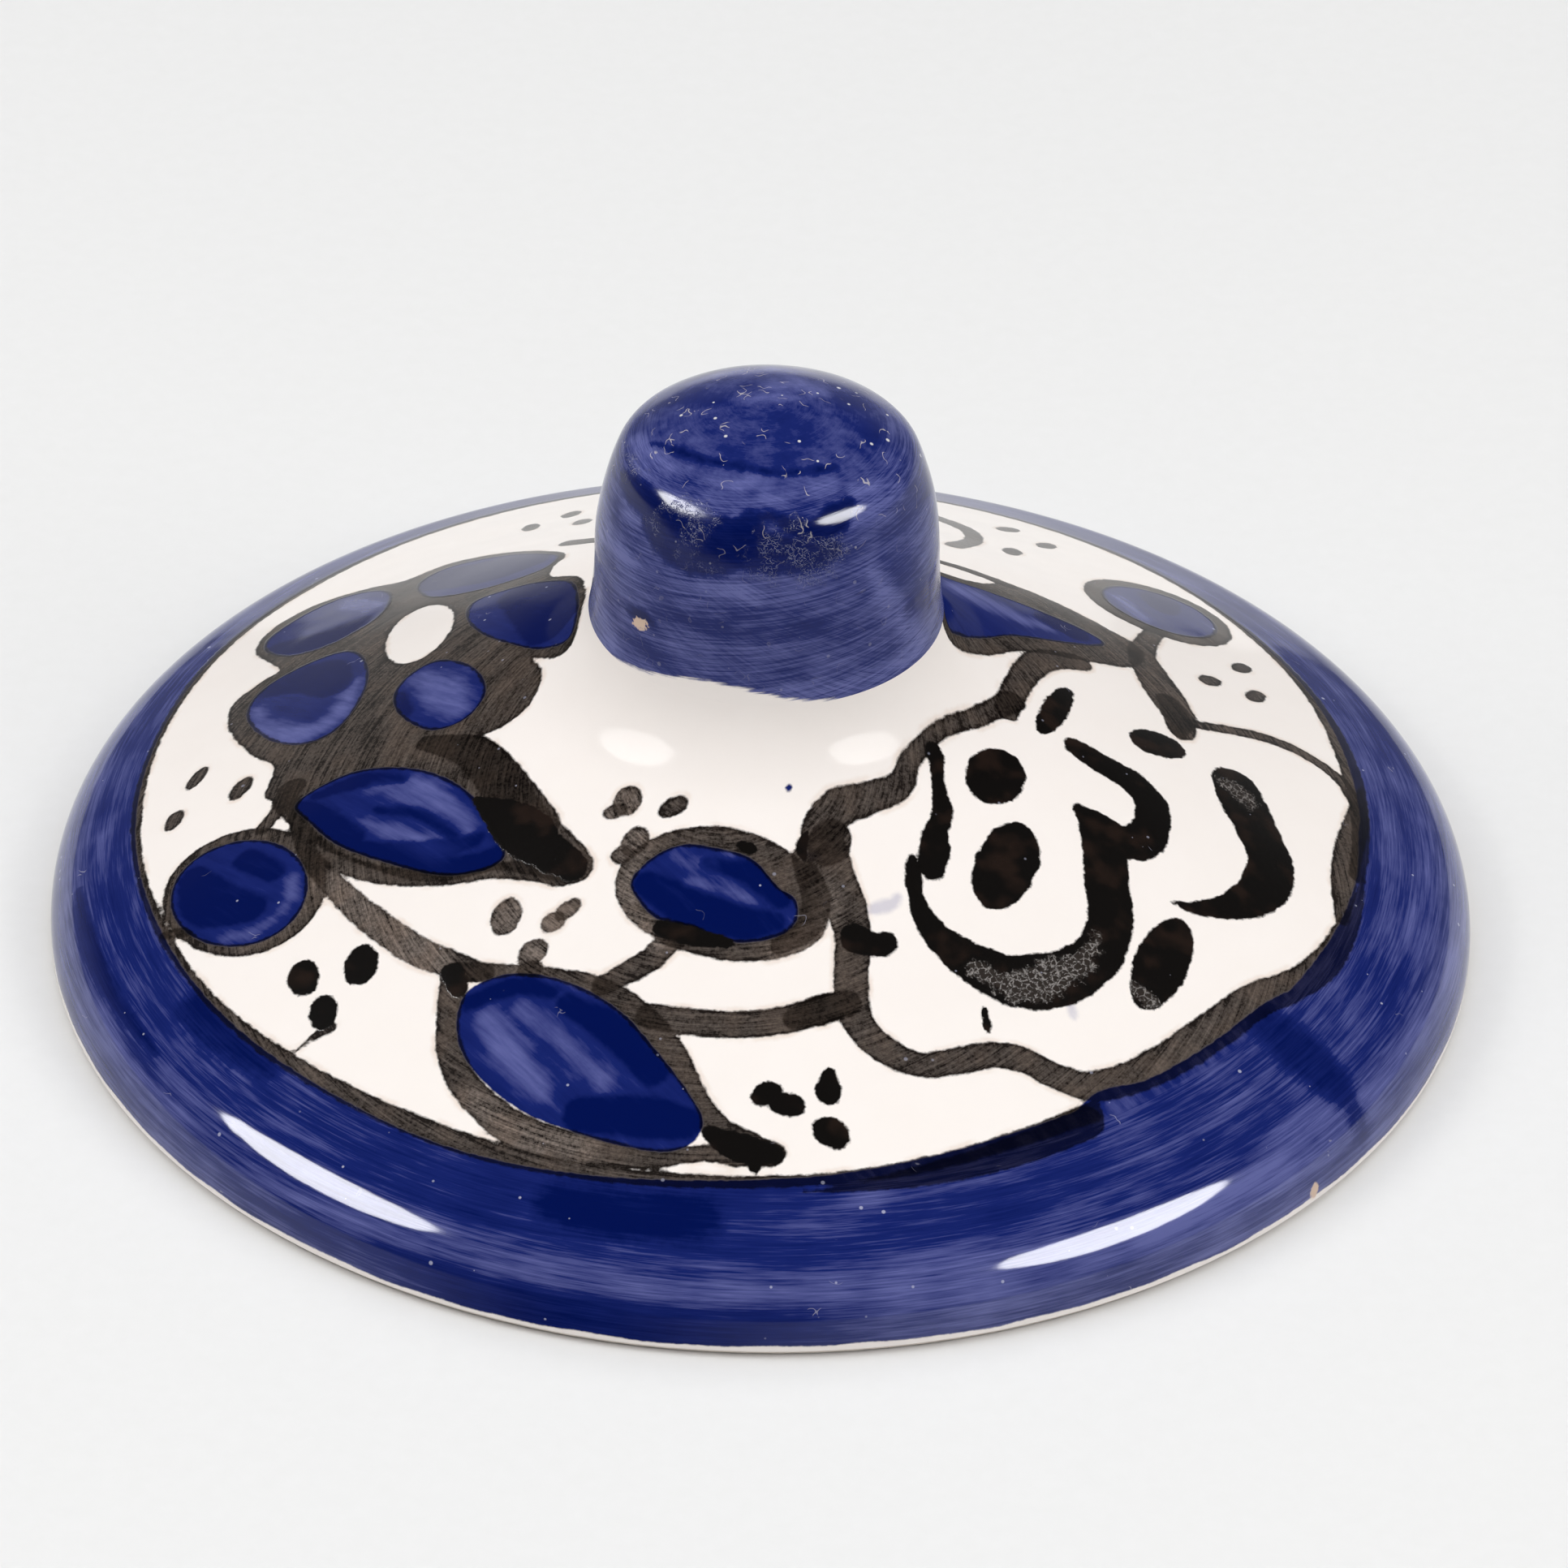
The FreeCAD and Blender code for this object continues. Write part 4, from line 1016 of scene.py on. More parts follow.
def smooth_run(points, closed=False, pieces=6):
    """Catmull-Rom curve through the points: on each span a cubic whose slope at a point is half the
    step from the point before to the point after."""
    knots = np.array(points, float)
    if closed:
        before, start, after, beyond = (np.roll(knots, shift, axis=0) for shift in (1, 0, -1, -2))
    else:
        padded = np.vstack((2 * knots[0] - knots[1], knots, 2 * knots[-1] - knots[-2]))
        before, start, after, beyond = padded[:-3], padded[1:-2], padded[2:-1], padded[3:]
    t = np.arange(pieces)[None, :, None] / pieces
    first, second = (after - before)[:, None] / 2, (beyond - start)[:, None] / 2
    rise = (after - start)[:, None]
    run = start[:, None] + first * t
    run = run + (3 * rise - 2 * first - second) * t**2 + (first + second - 2 * rise) * t**3
    run = run.reshape(-1, knots.shape[1])
    return np.vstack((run, run[:1] if closed else knots[-1:]))


def to_segments(x, y, run):
    """Distance from every place to every short segment of a run, and how far along it the foot lies."""
    start = run[:-1, :2]
    step_by = run[1:, :2] - start
    size = np.maximum((step_by**2).sum(1), 1e-12)
    dx = x[:, None] - start[:, 0]
    dy = y[:, None] - start[:, 1]
    along = np.clip((dx * step_by[:, 0] + dy * step_by[:, 1]) / size, 0, 1)
    gap = np.hypot(dx - along * step_by[:, 0], dy - along * step_by[:, 1])
    return gap, along


def close_by(x, y, low, high):
    """Places inside a box with a margin round it."""
    inside = (x > low[0] - FAR) & (x < high[0] + FAR) & (y > low[1] - FAR) & (y < high[1] + FAR)
    return np.flatnonzero(inside)


def stroke_distance(x, y, points):
    """Signed distance to a brush stroke: distance to its middle line less half its width there."""
    run = smooth_run(points)
    reach = run[:, 2].max() / 2
    found = np.full(x.shape, FAR)
    near = close_by(x, y, run[:, :2].min(0) - reach, run[:, :2].max(0) + reach)
    gap, along = to_segments(x[near], y[near], run)
    half = (run[:-1, 2] + (run[1:, 2] - run[:-1, 2]) * along) / 2
    found[near] = np.minimum((gap - half).min(1), FAR)
    return found


def outline_distance(x, y, points):
    """Signed distance to a closed smooth outline, below 0 inside it by counting crossings."""
    run = smooth_run(points, closed=True)
    found = np.full(x.shape, FAR)
    near = close_by(x, y, run.min(0), run.max(0))
    nearest = to_segments(x[near], y[near], run)[0].min(1)
    start, end = run[:-1], run[1:]
    spans = (start[:, 1] > y[near, None]) != (end[:, 1] > y[near, None])
    fall = np.where(end[:, 1] == start[:, 1], 1e-9, end[:, 1] - start[:, 1])
    crossing = start[:, 0] + (y[near, None] - start[:, 1]) / fall * (end[:, 0] - start[:, 0])
    inside = ((spans & (x[near, None] < crossing)).sum(1) % 2) == 1
    found[near] = np.minimum(np.where(inside, -nearest, nearest), FAR)
    return found


def oval_distance(x, y, oval):
    """Signed distance to an oval, by its implicit function over the size of that function's slope."""
    centre_x, centre_y, long, wide, turn = oval
    a, b = long / 2, wide / 2
    c, s = math.cos(math.radians(turn)), math.sin(math.radians(turn))
    u = (x - centre_x) * c + (y - centre_y) * s
    v = (y - centre_y) * c - (x - centre_x) * s
    level = np.hypot(u / a, v / b)
    slope = np.maximum(np.hypot(u / a**2, v / b**2), 1e-9)
    found = np.where(level < 1e-6, -min(a, b), level * (level - 1) / slope)
    return np.clip(found, -max(a, b), FAR)


def distances(x, y, strokes=(), ovals=(), outlines=()):
    """Distance fields of all these strokes, ovals and outlines."""
    found = [stroke_distance(x, y, points) for points in strokes]
    found += [oval_distance(x, y, oval) for oval in ovals]
    return found + [outline_distance(x, y, points) for points in outlines]


def least(fields):
    """Lowest of several distance fields."""
    return np.minimum.reduce(fields)


def wave(angle, phases):
    """Slow wobble round the lid, between about -1 and 1, from a few sines of whole numbers of waves."""
    total = sum(np.sin(count * angle + phase) for count, phase in phases)
    return total / len(phases)


def ramp(value, start, end):
    """Runs straight from 0 at the start to 1 at the end."""
    return np.clip((value - start) / (end - start), 0, 1)


def hill(value, middle, width):
    """1 at the middle, falling off to both sides as a bell curve of this width."""
    return np.exp(-(((value - middle) / width) ** 2))


def lid_fields(x, y, angle, climb):
    """Distance fields of all paint on the lid, at places in plan and their length up from the foot."""
    # Band and the line along its upper edge, with places along it in radians
    rho = np.hypot(x - BAND_CENTRE[0], y - BAND_CENTRE[1])
    bearing = np.arctan2(y - BAND_CENTRE[1], x - BAND_CENTRE[0])
    gap_from, gap_to = (math.radians(v) for v in BAND_LINE_GAP)
    outside = np.clip(np.minimum(bearing - gap_from, gap_to - bearing), 0, None) * BAND_RADIUS
    end_drift = hill(bearing, gap_from, 0.28)
    broad = hill(bearing, -2.06, 0.4)
    near_end = hill(bearing, -1.25, 0.4)
    on_right = hill(bearing, 0.1, 0.35)
    line_half = 0.33 + 0.25 * broad + 0.28 * (end_drift + on_right)
    line_half += 0.07 * wave(bearing, LINE_WAVES)
    band_edge = BAND_RADIUS + 0.15 * wave(bearing, EDGE_WAVES) - 0.5 * end_drift
    band_line = np.hypot(rho - band_edge, outside) - line_half
    under_line = line_half * (0.7 * broad - 0.9 * near_end)
    low_edge = 0.86 + 0.14 * wave(angle, HEM_WAVES)
    band = np.maximum(band_edge + under_line - rho, low_edge - climb)

    # Black and blue brushwork
    ground = least(distances(x, y, outlines=GROUND_OUTLINES)) - 0.2
    wash = [band_line, ground] + distances(x, y, WASH_STROKES, WASH_OVALS + GROUND_OVALS)
    first, second = np.sort(np.stack(wash), axis=0)[:2]
    fill = least(distances(x, y, ovals=BLUE_OVALS, outlines=BLUE_OUTLINES)) - 0.1
    centre = oval_distance(x, y, FLOWER_CENTRE)
    bare = np.maximum(-centre, -fill - 0.2)
    blue = least([band, outline_distance(x, y, BAND_WEDGE) - 0.35, fill])
    soft_coat = least(distances(x, y, SOFT_COAT_STROKES)) * 0.35

    # Depth of the band's blue, and where the glaze is quiet, with places round the lid in degrees
    degrees = np.degrees(angle)
    crest = hill(climb, 3.7, 1.3)
    hem = hill(climb, 1.2, 0.5)
    right = hill(degrees, -20.0, 42.0)
    front_left = hill(degrees, -103.0, 18.0)
    front_right = hill(degrees, -62.0, 24.0)
    upper = ramp(climb, 5.0, 7.0)
    low = ramp(climb, 3.7, 2.5)
    # The band's tone: partly its own, partly painted reflection on the right and painted shade low at
    # the front left
    shift = -0.12 - 0.2 * crest - 0.16 * hem - 0.06 * right - 0.2 * crest * front_right
    shift += front_left * (0.44 * low + 0.2 * upper)
    near_neck = ramp(np.hypot(x, y), 26.0, 11.0)
    neck = near_neck**2 * (3 - 2 * near_neck) * (0.96 - 0.13 * hill(degrees, -90.0, 60.0))
    return {
        "wash": np.maximum(first, bare),
        "twice": np.maximum(second, bare),
        "blue": np.maximum(blue, -centre),
        "dense": least(distances(x, y, DENSE_STROKES, DENSE_OVALS)),
        "coat": least([soft_coat] + distances(x, y, COAT_STROKES)),
        "thin": least(distances(x, y, THIN_STROKES)),
        "dry": least(distances(x, y, DRY_STROKES)),
        "smudge": least(distances(x, y, ovals=SMUDGES)),
        "crust": least(distances(x, y, CRUST_STROKES)),
        "depth": PLAIN_DEPTH + np.where(rho > BAND_RADIUS - 0.65, shift, 0.0),
        "quiet": np.maximum(neck, front_left * low),
        "chip": oval_distance((degrees - CHIP_BEARING) * RIM_ROLL, climb, CHIP),
    }


def knob_fields(degrees, climb, x, y):
    """Fields of the paint on the knob, with its side rolled out flat."""
    across = degrees * KNOB_ROLL

    def near(side, crown=()):
        rolled = [[(turn * KNOB_ROLL, up, width) for turn, up, width in points] for points in side]
        return least(distances(across, climb, rolled) + distances(x, y, crown))

    crown = ramp(climb, 12.0, 14.0)
    return {
        "blue": np.interp(degrees, *zip(*KNOB_EDGE)) - climb,
        "coat": near(KNOB_COAT, CROWN_COAT),
        "shade": near(KNOB_SHADE, CROWN_SHADE),
        "thin": near(KNOB_THIN, CROWN_THIN),
        "crust": near(KNOB_CRUST),
        "pinhole": oval_distance(across, climb, (KNOB_PINHOLE[0] * KNOB_ROLL,) + KNOB_PINHOLE[1:]),
        "depth": 0.34 + 0.09 * crown,
        "crown": crown,
        "dusty": np.maximum(ramp(climb, 8.0, 12.0), 0.15),
    }


def by_span(along, lengths, *choices):
    """Takes each value from the choice for the span of the profile that its length along lies in."""
    return np.select([along <= end for end in lengths[:-1]], choices[:-1], choices[-1])


def lid_profile(sizes, along):
    """Radius, height and outward direction of the lid's top at lengths along its profile.

    It runs straight up the lip, round the rolled rim by radius and angle, straight up the cone, and
    round the hollow neck. The neck's end angle follows from its circle touching the cone's line.
    """
    slope, rim, neck = sizes.cone_angle, sizes.rim_round, sizes.neck_round
    cosine, sine = math.cos(slope), math.sin(slope)
    core = sizes.rim_radius - rim
    foot = (core + rim * sine, sizes.rim_centre_height + rim * cosine)
    reach = (sizes.neck_radius - foot[0]) * sine + (sizes.seat_height - foot[1]) * cosine
    end = slope + math.acos(1 - reach / neck)
    hub = (sizes.neck_radius + neck * math.sin(end), sizes.seat_height + neck * math.cos(end))
    head = (hub[0] - neck * sine, hub[1] - neck * cosine)
    lip = sizes.rim_centre_height - sizes.lip_height
    lengths = np.cumsum((lip, rim * (math.pi / 2 - slope), math.dist(foot, head), neck * (end - slope)))
    turn = (along - lengths[0]) / rim
    run = along - lengths[1]
    sweep = slope + (along - lengths[2]) / neck
    radius = by_span(
        along,
        lengths,
        sizes.rim_radius,
        core + rim * np.cos(turn),
        foot[0] - run * cosine,
        hub[0] - neck * np.sin(sweep),
    )
    height = by_span(
        along,
        lengths,
        sizes.lip_height + along,
        sizes.rim_centre_height + rim * np.sin(turn),
        foot[1] + run * sine,
        hub[1] - neck * np.cos(sweep),
    )
    lean = by_span(along, lengths, 0.0, turn, math.pi / 2 - slope, math.pi / 2 - sweep)
    return radius, height, np.cos(lean), np.sin(lean), lengths


def knob_profile(sizes, along):
    """Radius, height and outward direction of the knob at lengths up from its joint.

    It runs up the hollow side by angle about a far centre, up the full side that leans in, round the
    shoulder and over the crown. Each arc starts in the direction that the one before it ends in.
    """
    side, belly, lean_in = sizes.side_round, sizes.belly_round, sizes.belly_angle
    shoulder, crown = sizes.shoulder_round, sizes.crown_round
    far_centre = sizes.waist_radius + side
    rise = math.asin((sizes.waist_height - sizes.joint_height) / side)
    core = sizes.waist_radius - belly
    hub_radius = core + (belly - shoulder) * math.cos(lean_in)
    hub_height = sizes.waist_height + (belly - shoulder) * math.sin(lean_in)
    pitch = math.asin(hub_radius / (crown - shoulder))
    arcs = (side * rise, belly * lean_in, shoulder * (math.pi / 2 - pitch - lean_in), crown * pitch)
    lengths = np.cumsum(arcs)
    below = rise - along / side
    bend = (along - lengths[0]) / belly
    turn = lean_in + (along - lengths[1]) / shoulder
    tilt = pitch - (along - lengths[2]) / crown
    radius = by_span(
        along,
        lengths,
        far_centre - side * np.cos(below),
        core + belly * np.cos(bend),
        hub_radius + shoulder * np.cos(turn),
        crown * np.sin(tilt),
    )
    height = by_span(
        along,
        lengths,
        sizes.waist_height - side * np.sin(below),
        sizes.waist_height + belly * np.sin(bend),
        hub_height + shoulder * np.sin(turn),
        sizes.top_height - crown + crown * np.cos(tilt),
    )
    lean = by_span(along, lengths, below, bend, turn, math.pi / 2 - tilt)
    return radius, height, np.cos(lean), np.sin(lean), lengths


def joint_ease(gap, reach):
    """How far a skin swells towards the joint so that neck and knob meet without a crease: it falls
    with the square of the way left to the reach, and leans by 4 degrees at the joint."""
    return JOINT_LEAN / 2 * reach * np.clip(1 - gap / reach, 0, 1) ** 2


def round_angles(columns):
    """Even angles once round the axis, from -180 degrees."""
    return np.arange(columns) * 2 * math.pi / columns - math.pi


def skin_points(front_radius, front_height, back, depth, limits, angle):
    """Rings of a skin's front, then rings of its back at this depth, with heights kept in the limits.

    A ring's points are its radius times the angle's cosine and sine, and its height.
    """
    spread = np.ones(len(angle))
    back_radius = np.outer(back[0] - back[2] * depth, spread)
    back_height = np.outer(np.clip(back[1] - back[3] * depth, *limits), spread)
    radius = np.vstack((front_radius, back_radius))
    height = np.vstack((front_height, back_height))
    return np.stack((radius * np.cos(angle), radius * np.sin(angle), height), axis=-1).reshape(-1, 3)


def ring_faces(rows, columns):
    """Quads of a grid that runs round in its rows and in its columns."""
    row, column = np.indices((rows, columns))
    after_row = (row + 1) % rows
    after_column = (column + 1) % columns
    corners = (
        row * columns + column,
        row * columns + after_column,
        after_row * columns + after_column,
        after_row * columns + column,
    )
    return np.stack(corners, axis=-1).reshape(-1, 4)


def new_piece(name, node, points, faces, fields, material):
    """Makes a mesh object from points and faces, with its fields, that stands for a CAD node."""
    mesh = bpy.data.meshes.new(name)
    mesh.from_pydata(points.tolist(), [], faces)
    mesh.validate()
    mesh.polygons.foreach_set("use_smooth", np.ones(len(mesh.polygons), bool))
    mesh.set_sharp_from_angle(angle=SHARP_ANGLE)
    for label, values in fields.items():
        layer = mesh.attributes.new(label, "FLOAT", "POINT")
        layer.data.foreach_set("value", np.ascontiguousarray(values, np.float32))
    mesh.materials.append(material)
    piece = bpy.data.objects.new(name, mesh)
    bpy.context.scene.collection.objects.link(piece)
    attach(piece, "root")
    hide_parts(node)


class PotLidTop(bpy.types.Operator):
    """Build the painted top of the lid"""

    bl_idname = "pot_lid.painted_lid"
    bl_label = "Painted lid"

    columns = 600
    rows = (5, 24, 100, 22)
    back_rows = 12

    # How high each paint stands and how wide its edge is, in millimetres, over glaze set back for it
    paint_heights = {"blue": 0.006, "wash": 0.006, "dense": 0.012}
    paint_edge = 0.4
    set_back = 0.06

    # Waves of the hand wobble, their twist in radians to a millimetre, and reach of the joint's swell
    hand_waves = ((2, 0.3), (3, 2.0), (5, 4.1))
    hand_twist = 0.2
    ease_reach = 2.74 * MM

    def execute(self, context):
        settings = context.scene.pot_lid
        sizes = settings.lid
        ends = np.concatenate(([0.0], lid_profile(sizes, np.zeros(1))[4]))
        spans = zip(ends[:-1], ends[1:], self.rows)
        along = np.concatenate([np.linspace(a, b, n, endpoint=False) for a, b, n in spans] + [ends[-1:]])
        angle = round_angles(self.columns)
        radius, height, out, up = (values[:, None] for values in lid_profile(sizes, along)[:4])
        x, y = radius * np.cos(angle), radius * np.sin(angle)
        around = np.broadcast_to(angle, x.shape)
        climb = np.broadcast_to(along[:, None] + sizes.lip_height, x.shape)
        fields = lid_fields(x.ravel() / MM, y.ravel() / MM, around.ravel(), climb.ravel() / MM)
        paint = -self.set_back
        for name, stands in self.paint_heights.items():
            paint = paint + stands * ramp(fields[name], self.paint_edge / 2, -self.paint_edge / 2)
        hand = wave(around + self.hand_twist * climb / MM, self.hand_waves)
        fade = np.sin(math.pi * np.clip(along / ends[-1], 0, 1))[:, None] ** 0.5
        lift = paint.reshape(x.shape) * MM + (hand - 1) * 0.5 * sizes.hand_wobble * fade
        swell = joint_ease(ends[-1] - along, self.ease_reach)[:, None]
        points = skin_points(
            radius + out * lift * fade + swell,
            height + up * lift * fade,
            lid_profile(sizes, np.linspace(ends[-1], 0.0, self.back_rows)),
            sizes.glaze_depth,
            (sizes.lip_height, sizes.seat_height),
            angle,
        )
        faces = ring_faces(len(along) + self.back_rows, self.columns).tolist()
        spare = np.full(len(points) - x.size, FAR)
        fields = {name: np.concatenate((values, spare)) for name, values in fields.items()}
        material = lid_paint(settings.look)
        new_piece("painted_lid", "lid_glaze", points, faces, fields, material)
        return {"FINISHED"}


class PotLidKnob(bpy.types.Operator):
    """Build the painted knob"""

    bl_idname = "pot_lid.painted_knob"
    bl_label = "Painted knob"

    columns = 360
    rows = 120
    back_rows = 24

    # Size, waves and twist of the hand wobble, reach of the joint's swell, and values on the back
    wobble = 0.03 * MM
    hand_waves = ((2, 1.0), (3, 0.2), (5, 3.0))
    hand_twist = 0.3
    ease_reach = 1.6 * MM
    back_values = {"depth": PLAIN_DEPTH, "crown": 0.0, "dusty": 0.0}

    def execute(self, context):
        settings = context.scene.pot_lid
        sizes = settings.knob
        depth = settings.lid.glaze_depth
        total = knob_profile(sizes, np.zeros(1))[4][-1]
        along = np.linspace(0.0, total, self.rows, endpoint=False)
        angle = round_angles(self.columns)
        radius, height, out, up = (values[:, None] for values in knob_profile(sizes, along)[:4])
        x, y = radius * np.cos(angle), radius * np.sin(angle)
        around = np.broadcast_to(angle, x.shape)
        climb = np.broadcast_to(along[:, None], x.shape)
        fade = np.sin(math.pi * np.clip(climb / total, 0, 1))
        hand = wave(around + self.hand_twist * climb / MM, self.hand_waves)
        lift = (hand - 1) * self.wobble * fade
        rings = skin_points(
            radius + out * lift + joint_ease(along, self.ease_reach)[:, None],
            height + up * lift,
            knob_profile(sizes, np.linspace(total, 0.0, self.back_rows + 1)[1:]),
            depth,
            (sizes.joint_height, sizes.top_height),
            angle,
        )
        poles = ((0.0, 0.0, sizes.top_height), (0.0, 0.0, sizes.top_height - depth))
        points = np.vstack((rings, poles))
        degrees = np.degrees(around).ravel()
        fields = knob_fields(degrees, climb.ravel() / MM, x.ravel() / MM, y.ravel() / MM)
        for name, values in fields.items():
            rest = np.full(len(points) - x.size, self.back_values.get(name, FAR))
            rest[-2] = values[-1]
            fields[name] = np.concatenate((values, rest))
        material = knob_paint(settings.look)
        new_piece("painted_knob", "knob_glaze", points, self.faces(), fields, material)
        return {"FINISHED"}

    def faces(self):
        """Quads of all rings but the gap between front and back at the crown, which two fans close."""
        rows = self.rows + self.back_rows
        opened = np.repeat(np.arange(rows) != self.rows - 1, self.columns)
        quads = ring_faces(rows, self.columns)[opened]
        here = np.arange(self.columns)
        there = (here + 1) % self.columns
        top = (self.rows - 1) * self.columns
        low = self.rows * self.columns
        apex = np.full_like(here, rows * self.columns)
        outer_fan = np.stack((top + here, top + there, apex), axis=-1)
        inner_fan = np.stack((low + there, low + here, apex + 1), axis=-1)
        return quads.tolist() + outer_fan.tolist() + inner_fan.tolist()


class PotLidClay(bpy.types.Operator):
    """Finish the clay, the slip and the glaze inside the lid"""

    bl_idname = "pot_lid.clay_and_inside"
    bl_label = "Clay and inside glaze"

    clay_nodes = ("lid_shell", "knob", "luting_slip")
    inside_nodes = ("under_glaze",)

    def execute(self, context):
        look = context.scene.pot_lid.look
        for material, nodes in ((clay(look), self.clay_nodes), (inside_glaze(look), self.inside_nodes)):
            for node in nodes:
                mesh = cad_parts[node].data
                mesh.materials.clear()
                mesh.materials.append(material)
        return {"FINISHED"}


class PotLidStage(bpy.types.Operator):
    """Set up the floor, the lamps and the camera"""

    bl_idname = "pot_lid.stage"
    bl_label = "Stage"

    floor_reach = 3.0
    floor_cells = 6

    # Name, azimuth and elevation of the two softboxes, then sizes and distances of all lamps
    softboxes = (("left", -77.0, 40.0), ("right", 60.0, 36.0))
    box_size = (0.37, 0.25)
    box_distance = 0.6
    glint_size = (0.36, 0.24)
    glint_distance = 0.58
    fill_size = (5.0, 5.0)
    fill_distance = 2.2
    lamp_aim = (0.0, 0.0, 0.015)

    # The camera's axis passes this far right of and above the lid's foot, in pixels of a 1932 picture
    picture_side = 1932.0
    aim_right = 25.7
    aim_up = 153.7
    sensor = 36.0
    backdrop = 0.9

    def execute(self, context):
        stage = context.scene.pot_lid.stage
        self.floor(stage)
        self.lamps(stage)
        self.camera(stage)
        self.world()
        context.scene.view_settings.view_transform = "Standard"
        return {"FINISHED"}

    def floor(self, stage):
        """A wide flat sheet: x and y are the two parameters and height is 0."""
        across = np.linspace(-self.floor_reach, self.floor_reach, self.floor_cells + 1)
        x, y = np.meshgrid(across, across)
        points = np.stack((x, y, 0 * x), axis=-1).reshape(-1, 3)
        row, column = np.indices((self.floor_cells, self.floor_cells))
        first = (row * len(across) + column).ravel()
        after = first + len(across)
        faces = np.stack((first, first + 1, after + 1, after), axis=-1)
        mesh = bpy.data.meshes.new("floor")
        mesh.from_pydata(points.tolist(), [], faces.tolist())
        bench = Bench(bpy.data.materials, "pale_paper")
        fibre = grain(bench.millimetres(), 0.8, 3.0, 0.6)
        colour = mix(fibre * 0.6, stage.floor, PAPER_FIBRE)
        paper = {"Base Color": colour, "Roughness": 0.9, "Specular IOR Level": 0.1}
        mesh.materials.append(bench.finish(bench.node("ShaderNodeBsdfPrincipled", None, paper)))
        sheet = bpy.data.objects.new("floor", mesh)
        bpy.context.scene.collection.objects.link(sheet)

    def lamp(self, name, power, shape, size, azimuth, elevation, distance):
        """A flat lamp that looks at the lid from this side."""
        light = bpy.data.lights.new(name, "AREA")
        light.shape = shape
        light.size, light.size_y = size
        light.energy = power
        lamp = bpy.data.objects.new(name, light)
        side, tilt = math.radians(azimuth), math.radians(elevation)
        level = math.cos(tilt)
        away = Vector((math.sin(side) * level, -math.cos(side) * level, math.sin(tilt)))
        lamp.location = away * distance + Vector(self.lamp_aim)
        lamp.rotation_mode = "QUATERNION"
        lamp.rotation_quaternion = (-away).to_track_quat("-Z", "Y")
        lamp.visible_camera = False
        bpy.context.scene.collection.objects.link(lamp)
        return lamp

    def lamps(self, stage):
        """Two softboxes left and right of the camera, each with a twin just before it that only the
        glaze reflects, and a wide fill from above that doesn't glint."""
        boxes = ("softbox_", stage.lamp_power, self.box_size, self.box_distance, "visible_glossy")
        glints = ("glint_", stage.gloss_power, self.glint_size, self.glint_distance, "visible_diffuse")
        for side, azimuth, elevation in self.softboxes:
            for kind, power, size, distance, hidden in (boxes, glints):
                made = self.lamp(kind + side, power, "ELLIPSE", size, azimuth, elevation, distance)
                setattr(made, hidden, False)
        overhead = (0.0, 90.0, self.fill_distance)
        fill = self.lamp("fill", stage.fill_power, "SQUARE", self.fill_size, *overhead)
        fill.visible_glossy = False

    def camera(self, stage):
        """The photograph's camera: it looks down at the lid, past its middle, with a slight roll."""
        data = bpy.data.cameras.new("camera")
        data.lens = stage.camera_lens
        data.sensor_width = self.sensor
        data.clip_start = 0.01
        data.clip_end = 20.0
        camera = bpy.data.objects.new("camera", data)
        bpy.context.scene.collection.objects.link(camera)
        drop = stage.camera_elevation
        forward = Vector((0.0, math.cos(drop), -math.sin(drop)))
        up = Vector((0.0, math.sin(drop), math.cos(drop)))
        right = Vector((1.0, 0.0, 0.0))
        focal = stage.camera_lens / self.sensor * self.picture_side
        aim = (forward * focal + right * self.aim_right + up * self.aim_up).normalized()
        level = aim.cross(Vector(UPRIGHT)).normalized()
        above = level.cross(aim)
        cosine, sine = math.cos(stage.camera_roll), math.sin(stage.camera_roll)
        turned = level * cosine + above * sine
        raised = above * cosine - level * sine
        place = Matrix((turned, raised, -aim)).transposed().to_4x4()
        place.translation = -forward * stage.camera_distance
        camera.matrix_world = place
        bpy.context.scene.camera = camera

    def world(self):
        """A room that is pale low down behind the lid and dark above and in front, shown white where the
        camera looks at it."""
        bench = Bench(bpy.data.worlds, "room")
        way = bench.node("ShaderNodeTexCoord", None, None, "Generated")
        low_down = step(part_along(way, "Z"), 0.05, 0.55, 0.28, 0.03)
        behind = step(part_along(way, "Y"), -0.2, 0.8, 0.2, 1.0)
        seen = bench.node("ShaderNodeLightPath", None, None, "Is Camera Ray")
        strength = bench.node("ShaderNodeMix", None, {0: seen, 2: low_down * behind, 3: self.backdrop})
        white = {"Color": (1.0, 1.0, 1.0, 1.0), "Strength": strength}
        background = bench.node("ShaderNodeBackground", None, white)
        bpy.context.scene.world = bench.finish(background, "ShaderNodeOutputWorld")


class PotLidPanel(bpy.types.Panel):
    """Lists the steps and the sizes and colours"""

    bl_idname = "VIEW3D_PT_pot_lid"
    bl_label = "Pot lid"
    bl_space_type = "VIEW_3D"
    bl_region_type = "UI"
    bl_category = "Pot lid"

    def draw(self, context):
        layout = self.layout
        for step_class in STEPS:
            layout.operator(step_class.bl_idname)
        settings = context.scene.pot_lid
        for group in (settings.lid, settings.knob, settings.look, settings.stage):
            box = layout.box()
            for name in group.__annotations__:
                box.prop(group, name)


STEPS = (PotLidTop, PotLidKnob, PotLidClay, PotLidStage)
CLASSES = (LidSizes, KnobSizes, PaintLook, StageLook, PotLid) + STEPS + (PotLidPanel,)


def register():
    """Adds the classes and the lid's settings to Blender."""
    for item in CLASSES:
        bpy.utils.register_class(item)
    bpy.types.Scene.pot_lid = bpy.props.PointerProperty(type=PotLid)


def unregister():
    """Takes them out again."""
    del bpy.types.Scene.pot_lid
    for item in reversed(CLASSES):
        bpy.utils.unregister_class(item)


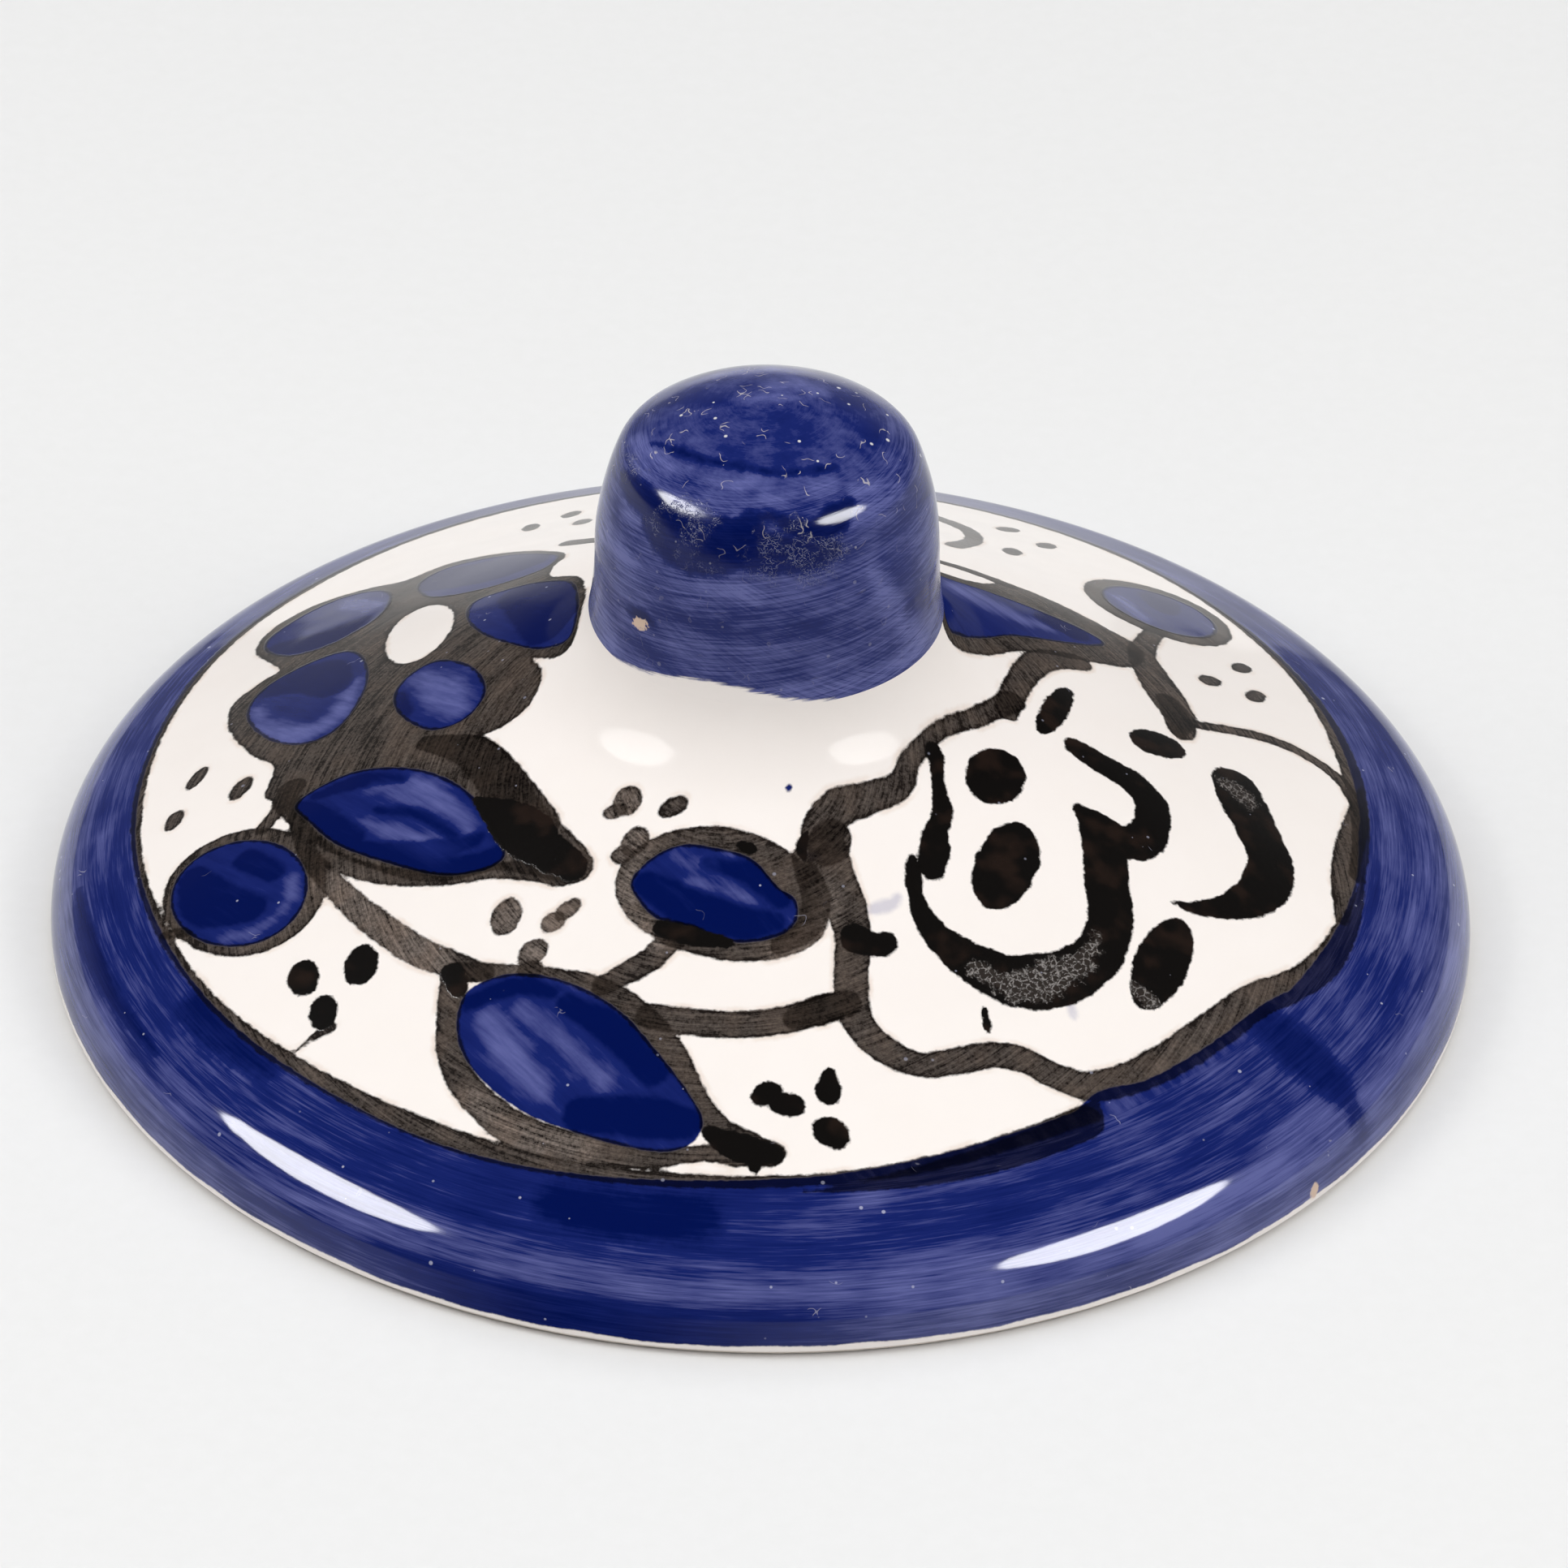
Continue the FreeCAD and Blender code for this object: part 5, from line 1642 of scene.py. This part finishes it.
def main():
    """Builds everything in order."""
    register()
    bpy.ops.pot_lid.painted_lid()
    bpy.ops.pot_lid.painted_knob()
    bpy.ops.pot_lid.clay_and_inside()
    bpy.ops.pot_lid.stage()


if __name__ == "__main__":
    main()
